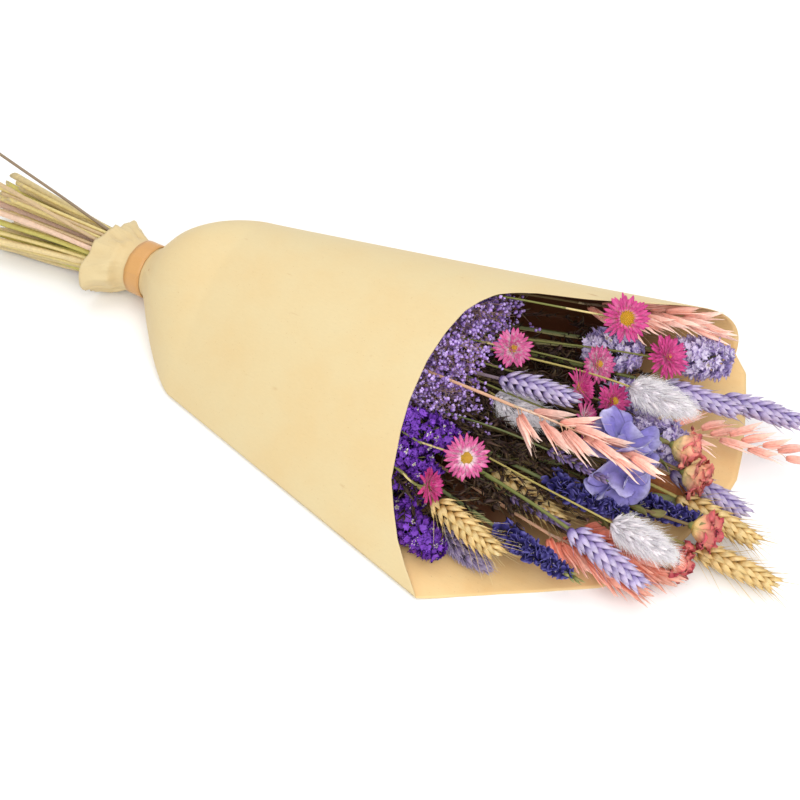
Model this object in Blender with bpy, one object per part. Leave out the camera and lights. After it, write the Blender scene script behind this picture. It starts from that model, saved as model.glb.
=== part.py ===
"""Dried wildflower bouquet in a kraft paper sleeve, lying on its back.

Metres, +Z up, +X from the cut stems to the flowers. The surface that the bouquet lies on is z = 0.
Every plant is one solid, a stem that swells into its flower head. All stems pass through the neck, where a
twine tie holds them, the paper is gathered round them and a paper band closes the paper.
"""

import math
from dataclasses import dataclass
from typing import Optional

import bpy
import numpy as np

# ---------------------------------------------------------------- driving dimensions
TAIL_X = -0.240  # free end of the paper behind the neck
BAND_X = -0.206  # middle of the neck: tie and band sit here
NECK_X = -0.1975  # where the paper starts to open
SHOULDER_X = -0.134  # where the paper has opened and runs straight
NECK_R = 0.019  # outside of the gathered paper
NECK_Z = 0.0210  # height of the neck's axis
TAIL_FLARE = 0.014  # how far the paper's free end spreads
SHOULDER_HALF = 0.0755  # half width of the sleeve at the shoulder
SHOULDER_HIGH = 0.063
WIDENING = 1.3  # how quickly the width leaves the neck: 1 is a straight line
LIFTING = 2.6  # and the height, which rises steeply, so that the paper bulges over the band
FLARE = 0.236  # half width gained for each metre of length
RISE = 0.080  # height gained for each metre of length
EDGE_Z = 0.004  # height of the creases beyond the shoulder
FLAT_BELOW = 1.25  # over 1, the underside meets the table before its middle, and lies flat on it from there
PAPER = 0.0009  # wall of the sleeve, with its overlapping turns
SLEEVE_TURNS = 40  # points round each row of the sleeve
SLEEVE_STEPS = 8  # rows between its shoulder and its edge
CREASE_SET_BACK = 3.0  # the inside of the sharp near crease stops this many walls short

TIE_R = 0.0157  # middle of the twine, round the stems
TWINE_R = 0.0008
BAND_WIDE = 0.013
BAND_THICK = 0.0006
GRIPPED = (BAND_X - 0.0085, BAND_X + 0.0085)  # where the gathered paper keeps an even radius

STEM_STEP = 0.036  # between the points of a stem
CHECKS_PER_STEP = 7  # places between two stem points where clearance is kept
CLEARANCE = 0.0007
EDGE_MARGIN = 0.004  # heads stay under the paper this far past its edge
TRAIL = np.array([-0.007, 0.001])  # y and z that the bundle gains behind the neck, over TRAIL_LONG
TRAIL_LONG = 0.14
FAN = 1.9  # how many neck radii the bundle spreads over that length
TWIST = math.radians(26)  # and how far it turns
SLANT = 1.06  # stems run up to 20 degrees off +X, which thins the gap between them
SETTLE_ROUNDS = 700
STEM_SIDES = 4
HEAD_SIDES = 8
ALONG = np.array([1.0, 0.0, 0.0])  # the way the bundle runs

NECK_SPREAD = 0.0115  # how far from the neck's axis a stem's middle may aim
HEADS_HALF = 0.105  # heads this far across, or HEADS_RISE above or below HEADS_MIDDLE, aim for the neck's rim
HEADS_MIDDLE = 0.034
HEADS_RISE = 0.032
EASE = 1.15  # over 1, a stem leaves the neck along +X before it turns to its head
OVERRUN = 1.6  # a head's line runs on past its tip by this many lengths
HOLD_HEAD = 0.10  # how strongly each round draws heads back to their places
HOLD_STEM = 0.01
BEND_BACK = 0.10  # and how strongly it smooths stems
CALM_SHARE = 0.7  # the drawing back and the smoothing fade out over this share of the rounds
SIDE_ROOM = 1.2  # spare room beside the paper's sides and under its top, as a factor
TOP_ROOM = 1.15
TIE_REACH = 0.006  # the tie holds the stems this far on each side of its middle
END_MARGIN = 0.004  # cut ends and the paper's tail count as this much longer
FLOWER_FOOT = 0.62  # an open flower's foot lies this many radii behind its middle

# How far the paper reaches along X: pairs of (share of the width from the near crease, x).
TOP_EDGE = [
    (0.00, 0.083), (0.03, 0.070), (0.06, 0.0595), (0.10, 0.0505), (0.15, 0.041), (0.19, 0.038), (0.25, 0.0335),
    (0.32, 0.030), (0.43, 0.028), (0.52, 0.0292), (0.606, 0.032), (0.655, 0.0365), (0.70, 0.0425), (0.728, 0.0515),
    (0.752, 0.065), (0.774, 0.0915), (0.80, 0.110), (0.84, 0.1325), (0.905, 0.156), (1.00, 0.180),
]
BOTTOM_EDGE = [
    (0.00, 0.083), (0.076, 0.1045), (0.139, 0.124), (0.224, 0.153), (0.278, 0.1725), (0.36, 0.194), (0.50, 0.206),
    (0.60, 0.2145), (0.655, 0.216), (0.72, 0.2125), (0.79, 0.207), (0.874, 0.1995), (0.95, 0.192), (1.00, 0.180),
]


# ---------------------------------------------------------------- plants
@dataclass(frozen=True)
class Kind:
    """A species: its stem's radius, and its head's length, radius and colour."""

    stem_r: float
    head_long: float
    head_r: float
    colour: tuple
    belly: float = 0.35  # where along the head it is widest, from 0 at its base to 1 at its tip
    lumps: int = 0  # how many times the head swells and narrows, as an ear does
    faces: Optional[tuple] = None  # an open flower looks this way instead of along its stem
    flat: float = 1.0  # height of the head over its width


KINDS = {
    "wheat": Kind(0.0015, 0.060, 0.0060, (0.80, 0.66, 0.36), 0.30, 6),
    "wheat_lilac": Kind(0.0015, 0.060, 0.0060, (0.58, 0.50, 0.78), 0.30, 6),
    "canary_grass": Kind(0.0011, 0.044, 0.0068, (0.52, 0.44, 0.66), 0.40),
    "oat": Kind(0.0014, 0.092, 0.0070, (0.90, 0.62, 0.52), 0.40, 5),
    "oat_coral": Kind(0.0013, 0.066, 0.0070, (0.88, 0.48, 0.38), 0.40, 4),
    "bunny_tail": Kind(0.0009, 0.042, 0.0100, (0.86, 0.83, 0.88), 0.40),
    "larkspur": Kind(0.0016, 0.056, 0.0090, (0.12, 0.09, 0.40), 0.35, 5),
    "rose": Kind(0.0014, 0.021, 0.0085, (0.86, 0.42, 0.40), 0.55),
    "daisy": Kind(0.0009, 0.020, 0.0118, (0.86, 0.36, 0.62), faces=(0.42, -0.52, 0.74)),
    "daisy_side": Kind(0.0009, 0.020, 0.0105, (0.84, 0.36, 0.62), faces=(0.86, 0.18, 0.48)),
    "hydrangea": Kind(0.0020, 0.042, 0.0185, (0.52, 0.46, 0.80), 0.50),
    "statice_violet": Kind(0.0013, 0.046, 0.0088, (0.26, 0.05, 0.60), 0.50, 4),
    "statice_lilac": Kind(0.0015, 0.036, 0.0125, (0.52, 0.48, 0.76), 0.50, 3),
    "broom": Kind(0.0010, 0.070, 0.0130, (0.52, 0.38, 0.70), 0.60),
    "sprig": Kind(0.0008, 0.046, 0.0038, (0.42, 0.32, 0.52), 0.40, 4),
    "leaf": Kind(0.0010, 0.046, 0.0055, (0.42, 0.34, 0.14), 0.45, flat=0.30),
}


@dataclass(frozen=True)
class Plant:
    """One cut stem. Its head starts at base and leads to tip; cut is its cut end's x."""

    name: str
    kind: str
    base: tuple
    tip: tuple
    cut: float = -0.335
    stray: tuple = (0.0, 0.0)  # how far the cut end wanders out of the bundle, in y and z


PLANTS = [
    # violet statice under the near edge of the paper
    Plant("statice_violet_1", "statice_violet", (0.024, -0.032, 0.050), (0.078, -0.046, 0.050), -0.350),
    Plant("statice_violet_2", "statice_violet", (0.022, -0.052, 0.036), (0.070, -0.076, 0.034), -0.322),
    Plant("statice_violet_3", "statice_violet", (0.044, -0.076, 0.015), (0.087, -0.099, 0.014), -0.338),
    Plant("statice_violet_4", "statice_violet", (0.020, -0.062, 0.022), (0.066, -0.086, 0.022), -0.318),
    # lilac broom bloom at the top of the opening
    Plant("broom_bloom_1", "broom", (-0.018, -0.012, 0.060), (0.056, -0.014, 0.062), -0.330),
    Plant("broom_bloom_2", "broom", (-0.014, 0.010, 0.064), (0.062, 0.014, 0.064), -0.345, (0.004, 0.016)),
    Plant("broom_bloom_3", "broom", (-0.016, 0.032, 0.062), (0.060, 0.044, 0.062), -0.326),
    Plant("broom_bloom_4", "broom", (-0.006, -0.006, 0.040), (0.070, -0.018, 0.046), -0.315),
    Plant("broom_bloom_5", "broom", (-0.012, 0.036, 0.040), (0.058, 0.062, 0.054), -0.335),
    # paper daisies
    Plant("daisy_1", "daisy", (0.068, -0.060, 0.050), (0.080, -0.064, 0.056), -0.340),
    Plant("daisy_2", "daisy", (0.056, 0.024, 0.064), (0.068, 0.026, 0.068), -0.318),
    Plant("daisy_3", "daisy", (0.112, 0.062, 0.084), (0.124, 0.064, 0.090), -0.345),
    Plant("daisy_4", "daisy_side", (0.140, 0.075, 0.050), (0.156, 0.079, 0.056), -0.328),
    Plant("daisy_5", "daisy_side", (0.104, 0.050, 0.046), (0.120, 0.053, 0.052), -0.312),
    Plant("daisy_6", "daisy_side", (0.104, 0.022, 0.050), (0.120, 0.024, 0.056), -0.336),
    Plant("daisy_7", "daisy_side", (0.116, 0.003, 0.046), (0.130, 0.005, 0.050), -0.322),
    Plant("daisy_8", "daisy_side", (0.122, 0.036, 0.040), (0.136, 0.038, 0.046), -0.342),
    Plant("daisy_9", "daisy_side", (0.058, -0.078, 0.040), (0.072, -0.082, 0.044), -0.330),
    # wheat, natural and dyed
    Plant("wheat_natural_1", "wheat", (0.068, -0.078, 0.044), (0.122, -0.097, 0.034), -0.352),
    Plant("wheat_natural_2", "wheat", (0.086, -0.030, 0.020), (0.140, -0.048, 0.014), -0.340),
    Plant("wheat_natural_3", "wheat", (0.190, 0.010, 0.016), (0.248, 0.000, 0.012), -0.356),
    Plant("wheat_natural_4", "wheat", (0.208, -0.022, 0.014), (0.268, -0.020, 0.010), -0.346),
    Plant("wheat_lilac_1", "wheat_lilac", (0.066, 0.012, 0.046), (0.126, 0.004, 0.060), -0.350),
    Plant("wheat_lilac_2", "wheat_lilac", (0.146, -0.057, 0.038), (0.206, -0.071, 0.022), -0.344),
    Plant("wheat_lilac_3", "wheat_lilac", (0.180, 0.034, 0.022), (0.236, 0.014, 0.016), -0.358),
    Plant("wheat_lilac_4", "wheat_lilac", (0.150, 0.068, 0.032), (0.206, 0.072, 0.034), -0.348),
    Plant("wheat_lilac_5", "wheat_lilac", (0.186, 0.084, 0.030), (0.240, 0.082, 0.036), -0.338),
    Plant("canary_grass_1", "canary_grass", (0.072, -0.084, 0.012), (0.114, -0.096, 0.010), -0.332),
    # oats, dyed blush and coral
    Plant("oat_blush_1", "oat", (0.084, -0.014, 0.062), (0.176, -0.012, 0.056), -0.360),
    Plant("oat_blush_2", "oat", (0.082, 0.090, 0.058), (0.172, 0.116, 0.066), -0.352, (0.006, 0.010)),
    Plant("oat_blush_3", "oat", (0.160, 0.048, 0.018), (0.246, 0.062, 0.026), -0.342),
    Plant("oat_coral_1", "oat_coral", (0.132, -0.058, 0.016), (0.202, -0.062, 0.012), -0.334),
    Plant("oat_coral_2", "oat_coral", (0.142, -0.044, 0.012), (0.212, -0.050, 0.008), -0.325),
    # hare's tail grass
    Plant("bunny_tail_1", "bunny_tail", (0.138, 0.036, 0.056), (0.180, 0.040, 0.052), -0.318),
    Plant("bunny_tail_2", "bunny_tail", (0.064, -0.002, 0.034), (0.108, 0.002, 0.040), -0.330),
    Plant("bunny_tail_3", "bunny_tail", (0.164, -0.040, 0.034), (0.206, -0.044, 0.028), -0.340),
    # larkspur, hydrangea and roses
    Plant("larkspur_1", "larkspur", (0.108, -0.078, 0.030), (0.164, -0.080, 0.018), -0.336),
    Plant("larkspur_2", "larkspur", (0.120, -0.034, 0.030), (0.174, -0.026, 0.026), -0.328),
    Plant("larkspur_3", "larkspur", (0.160, -0.018, 0.022), (0.212, -0.006, 0.022), -0.320),
    Plant("hydrangea_1", "hydrangea", (0.128, -0.006, 0.026), (0.168, 0.002, 0.036), -0.326),
    Plant("rose_bud_1", "rose", (0.176, 0.024, 0.036), (0.196, 0.028, 0.036), -0.316),
    Plant("rose_bud_2", "rose", (0.188, 0.008, 0.030), (0.208, 0.010, 0.028), -0.324),
    Plant("rose_bud_3", "rose", (0.206, -0.018, 0.028), (0.226, -0.012, 0.026), -0.330),
    Plant("rose_bud_4", "rose", (0.198, -0.036, 0.016), (0.218, -0.034, 0.012), -0.334),
    # lilac statice, sprigs and leaves
    Plant("statice_lilac_1", "statice_lilac", (0.150, 0.094, 0.036), (0.184, 0.104, 0.044), -0.344),
    Plant("statice_lilac_2", "statice_lilac", (0.098, 0.074, 0.036), (0.134, 0.086, 0.040), -0.332),
    Plant("statice_lilac_3", "statice_lilac", (0.150, 0.026, 0.020), (0.184, 0.034, 0.024), -0.326),
    Plant("statice_lilac_4", "statice_lilac", (0.120, 0.056, 0.022), (0.154, 0.062, 0.026), -0.338),
    Plant("lavender_sprig_1", "sprig", (0.104, -0.052, 0.026), (0.150, -0.058, 0.030), -0.318, (0.012, -0.004)),
    Plant("lavender_sprig_2", "sprig", (0.114, -0.022, 0.052), (0.158, -0.030, 0.050), -0.312),
    Plant("leaf_spray_1", "leaf", (0.166, 0.016, 0.010), (0.212, 0.006, 0.008), -0.322, (-0.016, 0.0)),
    Plant("leaf_spray_2", "leaf", (0.160, -0.010, 0.012), (0.200, 0.002, 0.012), -0.328),
]


# ---------------------------------------------------------------- the paper sleeve
def opened(x, quickness=WIDENING):
    """How far the paper has opened at x, from 0 at the neck to 1 at the shoulder."""
    share = np.clip((x - NECK_X) / (SHOULDER_X - NECK_X), 0, 1)
    return 1 - (1 - share) ** quickness


def half_width(x):
    """Half the width of the sleeve at x, and of the paper's free end behind the neck."""
    spread = NECK_R + (SHOULDER_HALF - NECK_R) * opened(x) + np.clip(x - SHOULDER_X, 0, 1) * FLARE
    return spread + TAIL_FLARE * np.clip((GRIPPED[0] - x) / (GRIPPED[0] - TAIL_X), 0, 1)


def arch_height(x):
    """Height of the sleeve's top over its creases."""
    return NECK_R + (SHOULDER_HIGH - NECK_R) * opened(x, LIFTING) + np.clip(x - SHOULDER_X, 0, 1) * RISE


def edge_height(x):
    """Height of the two edges where the top and the bottom of the sleeve meet."""
    return NECK_Z * (1 - opened(x)) + EDGE_Z * opened(x)


def top_of(x, share):
    """Height of the paper's top, at this share of the width from the near edge.

    At the neck it is half a circle. On the sleeve it leans to the far side: a sharp crease near, a round bend
    far.
    """
    near = 0.5 + 0.4 * opened(x)
    far = 0.5
    peak = (near / (near + far)) ** near * (far / (near + far)) ** far
    share = np.clip(share, 0, 1)
    return edge_height(x) + arch_height(x) * share**near * (1 - share) ** far / peak


def bottom_of(x, share):
    """Height of the paper's bottom: half a circle at the neck, and flat on the table further on."""
    sag = np.clip(4 * share * (1 - share), 0, 1) ** (0.5 - 0.3 * opened(x))
    depth = NECK_R * (1 - opened(x)) + FLAT_BELOW * edge_height(x) * opened(x)
    return np.maximum(edge_height(x) - depth * sag, 0.0)


def sleeve_rows():
    """Rows of the sleeve, as (x at the row, share of the way from there to the paper's edge)."""
    gathered = [TAIL_X, (TAIL_X + GRIPPED[0]) / 2, *GRIPPED]
    opening = [NECK_X + (SHOULDER_X - NECK_X) * share for share in (0.0, 0.12, 0.3, 0.6, 1.0)]
    straight = [(SHOULDER_X, step / SLEEVE_STEPS) for step in range(1, SLEEVE_STEPS + 1)]
    return [(x, 0.0) for x in gathered + opening] + straight


def sleeve_point(around, row, wall):
    """A point of the sleeve. around goes from the near edge over the top and back underneath, 0 to 1.

    row is one of sleeve_rows, and wall is how far inside the outer face the point lies.
    """
    over = around <= 0.5
    turn = 2 * around if over else 2 - 2 * around
    share = (1 - math.cos(math.pi * turn)) / 2
    edge = TOP_EDGE if over else BOTTOM_EDGE
    end = float(np.interp(share, [p[0] for p in edge], [p[1] for p in edge]))
    x = row[0] + (end - row[0]) * row[1]
    half = float(half_width(x))
    near_side = wall * (1 + (CREASE_SET_BACK - 1) * float(opened(x)))
    y = -half + near_side + (2 * half - near_side - wall) * share
    if over:
        z = float(top_of(x, share)) - wall * math.sin(math.pi * turn) ** 0.5
    else:
        z = float(bottom_of(x, share)) + wall * math.sin(math.pi * turn) ** 0.5
    return (x, y, max(z, wall))


def build_sleeve():
    """The kraft paper: a tube with a wall, open at the tail and at the slanting mouth."""
    turns, rows = SLEEVE_TURNS, sleeve_rows()
    steps = len(rows) - 1
    verts = [
        sleeve_point(turn / turns, row, wall)
        for wall in (0.0, PAPER)
        for row in rows
        for turn in range(turns)
    ]

    def index(layer, step, turn):
        return (layer * (steps + 1) + step) * turns + turn % turns

    faces = []
    for turn in range(turns):
        for step in range(steps):
            outer = [index(0, step, turn), index(0, step + 1, turn)]
            outer += [index(0, step + 1, turn + 1), index(0, step, turn + 1)]
            inner = [index(1, step, turn), index(1, step, turn + 1)]
            inner += [index(1, step + 1, turn + 1), index(1, step + 1, turn)]
            faces += [outer, inner]
        for step, flip in ((0, False), (steps, True)):
            rim = [index(0, step, turn), index(0, step, turn + 1)]
            rim += [index(1, step, turn + 1), index(1, step, turn)]
            faces.append(rim[::-1] if flip else rim)
    return add_solid("kraft_sleeve", verts, faces, (0.88, 0.74, 0.48), 0.75)


# ---------------------------------------------------------------- tie and band
def build_ring(name, profile, colour, roughness, segments=24):
    """A closed ring round the neck. profile is a closed outline of (x, radius), counter-clockwise."""
    count = len(profile)
    verts = [
        (x, radius * math.cos(angle), NECK_Z + radius * math.sin(angle))
        for angle in (2 * math.pi * s / segments for s in range(segments))
        for x, radius in profile
    ]
    faces = []
    for segment in range(segments):
        here, there = segment * count, (segment + 1) % segments * count
        for point in range(count):
            after = (point + 1) % count
            faces.append([here + point, here + after, there + after, there + point])
    return add_solid(name, verts, faces, colour, roughness)


def build_tie():
    """Twine wound three times round the stems, inside the paper."""
    turns = 3
    pitch = 1.9 * TWINE_R
    outline = []
    for turn in range(turns):
        middle = BAND_X + (turn - (turns - 1) / 2) * pitch
        for angle in (225, 315):
            bend = math.radians(angle)
            outline.append((middle + TWINE_R * math.cos(bend), TIE_R + TWINE_R * math.sin(bend)))
    for turn in reversed(range(turns)):
        middle = BAND_X + (turn - (turns - 1) / 2) * pitch
        for angle in (45, 135):
            bend = math.radians(angle)
            outline.append((middle + TWINE_R * math.cos(bend), TIE_R + TWINE_R * math.sin(bend)))
    return build_ring("twine_tie", outline, (0.66, 0.52, 0.34), 0.9)


def build_band():
    """The strip of gummed paper round the neck."""
    inside = NECK_R + 0.0003
    half = BAND_WIDE / 2
    outline = [
        (BAND_X - half, inside), (BAND_X + half, inside),
        (BAND_X + half, inside + BAND_THICK), (BAND_X - half, inside + BAND_THICK),
    ]
    return build_ring("neck_band", outline, (0.80, 0.56, 0.34), 0.55, segments=32)


# ---------------------------------------------------------------- settling the stems
def head_radius(kind, share):
    """Radius of a head at this share of its length: a smooth swelling, with lumps for spikelets or florets."""
    share = np.clip(share, 0.0, 1.0)
    rise = kind.belly
    fall = 1 - kind.belly
    swell = (share / rise) ** (0.8 * rise / fall) * ((1 - share) / fall) ** 0.8
    radius = kind.head_r * np.clip(swell, 0, 1) ** 0.75
    if kind.lumps:
        radius = radius * (0.88 + 0.12 * np.cos(2 * math.pi * kind.lumps * share))
    return np.maximum(radius, kind.stem_r * (0.35 + 0.65 * (1 - share)))


def is_open_flower(kind):
    return kind.faces is not None


class Bundle:
    """All the stems at once, as their y and z at shared stations along X, pushed apart until none overlap."""

    def __init__(self, plants):
        self.plants = plants
        self.kinds = [KINDS[p.kind] for p in plants]
        before = math.ceil((BAND_X - min(p.cut for p in plants)) / STEM_STEP)
        after = math.ceil((max(p.tip[0] for p in plants) - BAND_X) / STEM_STEP)
        self.stations = BAND_X + STEM_STEP * np.arange(-before, after + 1)
        self.neck = before
        self.target = np.stack([self.route(p) for p in plants])
        self.place = self.target.copy()
        self.prepare_checks()

    def neck_place(self, plant):
        """Where a stem crosses the neck: its head's place, drawn in towards the axis."""
        across = plant.base[1] / HEADS_HALF
        up = (plant.base[2] - HEADS_MIDDLE) / HEADS_RISE
        reach = max(1.0, math.hypot(across, up))
        return np.array([across, up]) / reach * NECK_SPREAD

    def route(self, plant):
        """y and z at every station: straight from the neck to the head, and spread out behind the neck."""
        centre = np.array([0.0, NECK_Z])
        neck = self.neck_place(plant)
        base, tip = np.array(plant.base), np.array(plant.tip)
        rows = []
        for x in self.stations:
            if x >= base[0]:
                share = (x - base[0]) / max(tip[0] - base[0], 1e-6)
                rows.append(base[1:] + (tip[1:] - base[1:]) * min(share, OVERRUN))
            elif x >= BAND_X:
                share = (x - BAND_X) / (base[0] - BAND_X)
                ease = share**EASE
                rows.append(centre + neck + (base[1:] - centre - neck) * ease)
            else:
                back = (BAND_X - x) / TRAIL_LONG
                turn = TWIST * back
                spin = np.array([[math.cos(turn), -math.sin(turn)], [math.sin(turn), math.cos(turn)]])
                spread = spin @ neck * (1 + FAN * back)
                rows.append(centre + spread + TRAIL * back + np.array(plant.stray) * back**2)
        return np.array(rows)

    def prepare_checks(self):
        """The planes where clearance is kept: the two stations round each, and each plant's radius there."""
        count = (len(self.stations) - 1) * CHECKS_PER_STEP + 1
        self.low = np.minimum(np.arange(count) // CHECKS_PER_STEP, len(self.stations) - 2)
        self.share = (np.arange(count) - self.low * CHECKS_PER_STEP) / CHECKS_PER_STEP
        self.planes = self.stations[self.low] + self.share * STEM_STEP
        self.blend = np.zeros((count, len(self.stations)))
        self.blend[np.arange(count), self.low] = 1 - self.share
        self.blend[np.arange(count), self.low + 1] = self.share
        self.radius = np.stack([self.radius_along(p, k) for p, k in zip(self.plants, self.kinds)])
        self.present = self.radius > 0
        need = self.radius[:, None, :] + self.radius[None, :, :] + CLEARANCE
        both = self.present[:, None, :] & self.present[None, :, :]
        self.need = np.where(both, need * SLANT, 0.0)

    def radius_along(self, plant, kind):
        x = self.planes
        radius = np.where((x > plant.cut - END_MARGIN) & (x < plant.base[0]), kind.stem_r * 1.05, 0.0)
        if is_open_flower(kind):
            middle = plant.base[0] + kind.head_long / 2
            ball = np.sqrt(np.clip((kind.head_r + 0.001) ** 2 - (x - middle) ** 2, 0, None))
            return np.maximum(radius, ball)
        long = self.head_run(plant, kind)
        share = (x - plant.base[0]) / long
        head = np.where((share >= 0) & (share <= 1.03), head_radius(kind, share) + 0.0004, 0.0)
        return np.maximum(radius, head)

    def head_run(self, plant, kind):
        """The head's length along X."""
        reach = np.array(plant.tip) - np.array(plant.base)
        return kind.head_long * reach[0] / np.linalg.norm(reach)

    def at_planes(self):
        return np.matmul(self.blend, self.place)

    def spread_back(self, push):
        """Shares out a push at the planes to the stations on each side."""
        moved = (np.linalg.norm(push, axis=2) > 1e-9).astype(float)
        weight = moved @ self.blend
        return np.matmul(self.blend.T, push) / np.maximum(weight, 1.0)[:, :, None] * 1.5

    def pushes(self):
        """The push that every plant gets at every plane, from its neighbours, the paper and the table."""
        here = self.at_planes()
        apart = here[:, None] - here[None, :]
        distance = np.linalg.norm(apart, axis=3) + 1e-9
        short = np.clip(self.need - distance, 0, None)
        index = np.arange(len(self.plants))
        short[index, index] = 0
        push = (apart / distance[..., None] * short[..., None] * 0.5).sum(axis=1)
        worst = float(short.max())
        radius = self.radius
        room = radius + PAPER + CLEARANCE
        low = np.clip(room - here[:, :, 1], 0, None) * self.present
        push[:, :, 1] += low
        half = half_width(self.planes)[None, :]
        inside = self.planes[None, :] < self.ceiling_end()
        sleeve = self.planes[None, :] > TAIL_X - END_MARGIN
        wide = np.clip(np.abs(here[:, :, 0]) + room * SIDE_ROOM - half, 0, None) * self.present * sleeve
        push[:, :, 0] -= np.sign(here[:, :, 0]) * wide
        ceiling = self.ceiling(here[:, :, 0], radius)
        high = np.clip(here[:, :, 1] + room * TOP_ROOM - ceiling, 0, None) * self.present * inside * sleeve
        push[:, :, 1] -= high
        neck = np.abs(self.planes - BAND_X) < TIE_REACH
        offset = here - np.array([0.0, NECK_Z])
        reach = np.linalg.norm(offset, axis=2) + 1e-9
        bound = TIE_R - TWINE_R - CLEARANCE - radius
        over = np.clip(reach - bound, 0, None) * neck[None, :] * self.present
        push -= offset / reach[..., None] * over[..., None]
        return push, max(worst, float(over.max()), float(high.max()), float(low.max()))

    def ceiling_end(self):
        """The top of the sleeve covers the planes up to this x, at each plant's place across the width."""
        far_side = self.at_planes()[:, :, 0] + 0.8 * self.radius
        share = np.clip((far_side / half_width(self.planes)[None, :] + 1) / 2, 0, 1)
        return np.interp(share, [p[0] for p in TOP_EDGE], [p[1] for p in TOP_EDGE]) + EDGE_MARGIN

    def ceiling(self, across, radius):
        """The lowest height of the paper's top over a plant's width."""
        half = half_width(self.planes)[None, :]
        heights = [
            top_of(self.planes[None, :], np.clip(((across + side * radius) / half + 1) / 2, 0.002, 0.998))
            for side in (-1, 0, 1)
        ]
        return np.minimum.reduce(heights)

    def settle(self):
        """Pushes overlapping plants apart, keeps stems smooth and draws heads back to their places."""
        hold = np.zeros(self.place.shape[:2])
        for row, plant in enumerate(self.plants):
            hold[row, self.stations >= plant.base[0] - STEM_STEP] = HOLD_HEAD
            hold[row, self.stations < plant.base[0] - STEM_STEP] = HOLD_STEM
        worst = 1.0
        for step in range(SETTLE_ROUNDS):
            calm = max(0.0, 1 - step / (CALM_SHARE * SETTLE_ROUNDS))
            push, worst = self.pushes()
            if worst < 1e-4 and calm == 0:
                break
            self.place += self.spread_back(push)
            if calm > 0:
                self.place += (self.target - self.place) * hold[:, :, None] * calm
                bend = self.place[:, :-2] + self.place[:, 2:] - 2 * self.place[:, 1:-1]
                self.place[:, 1:-1] += bend * BEND_BACK * calm
        print(f"settled after {step + 1} rounds, tightest overlap {worst * 1000:.2f} mm")
        return self.place

    def path(self, row):
        """The settled points of a stem, from its cut end to its head's base, and its head's two ends."""
        plant = self.plants[row]
        kind = self.kinds[row]

        def point(x):
            return np.array([x, *[np.interp(x, self.stations, self.place[row, :, c]) for c in (0, 1)]])

        inner = [x for x in self.stations if plant.cut + 0.008 < x < plant.base[0] - 0.008]
        stem = [point(x) for x in [plant.cut, *inner, plant.base[0]]]
        if is_open_flower(kind):
            return stem, [point(plant.base[0] + kind.head_long / 2)]
        long = self.head_run(plant, kind)
        steps = max(5, min(9, round(kind.head_long / 0.0065)))
        return stem, [point(plant.base[0] + long * s / steps) for s in range(1, steps + 1)]


# ---------------------------------------------------------------- solids
def add_solid(name, verts, faces, colour, roughness):
    """Adds one closed mesh, smooth shaded, with its own material."""
    mesh = bpy.data.meshes.new(name)
    mesh.from_pydata([tuple(v) for v in verts], [], faces)
    mesh.validate()
    mesh.shade_smooth()
    mesh.set_sharp_from_angle(angle=math.radians(40))
    material = bpy.data.materials.new(name)
    material.use_nodes = True
    shader = material.node_tree.nodes["Principled BSDF"]
    shader.inputs["Base Color"].default_value = (*colour, 1.0)
    shader.inputs["Roughness"].default_value = roughness
    shader.inputs["Metallic"].default_value = 0.0
    mesh.materials.append(material)
    solid = bpy.data.objects.new(name, mesh)
    bpy.context.scene.collection.objects.link(solid)
    return solid


def ring_of(centre, tangent, radius, sides, flat=1.0):
    """Points round a centre, square to a tangent. flat under 1 presses the ring down, as a leaf is."""
    tangent = tangent / np.linalg.norm(tangent)
    side = np.cross([0.0, 0.0, 1.0], tangent)
    if np.linalg.norm(side) < 0.2:
        side = np.cross([0.0, 1.0, 0.0], tangent)
    side /= np.linalg.norm(side)
    rise = np.cross(tangent, side)
    angles = 2 * math.pi * np.arange(sides) / sides
    return [centre + radius * (math.cos(a) * side + flat * math.sin(a) * rise) for a in angles]


def loft(name, rings, colour, roughness):
    """A closed solid through rings of points. The next ring may have twice as many points as the last."""
    verts = [p for ring in rings for p in ring]
    faces = []
    start = 0
    for ring, after in zip(rings, rings[1:]):
        count, more = len(ring), len(after)
        nxt = start + count
        for i in range(count):
            a, b = start + i, start + (i + 1) % count
            if count == more:
                faces.append([a, b, nxt + (i + 1) % more, nxt + i])
            else:
                left, middle, right = nxt + 2 * i, nxt + 2 * i + 1, nxt + (2 * i + 2) % more
                faces += [[a, middle, left], [a, b, middle], [b, right, middle]]
        start = nxt
    faces.append(list(range(len(rings[0])))[::-1])
    faces.append(list(range(start, start + len(rings[-1]))))
    return add_solid(name, verts, faces, colour, roughness)


def stem_rings(points, radius):
    rings = []
    for i, point in enumerate(points):
        before, after = points[max(i - 1, 0)], points[min(i + 1, len(points) - 1)]
        rings.append(ring_of(point, after - before, radius, STEM_SIDES))
    return rings


def build_spike(name, kind, stem, head):
    """A stem that ends in a long head: an ear, a spike, a panicle, a bud or a leaf."""
    rings = stem_rings([*stem, head[0]], kind.stem_r)[:-1]
    for i, point in enumerate(head, start=1):
        radius = float(head_radius(kind, i / len(head))) if i < len(head) else kind.stem_r * 0.35
        rings.append(ring_of(point, ALONG, radius, HEAD_SIDES, kind.flat))
    return loft(name, rings, kind.colour, 0.8)


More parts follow.
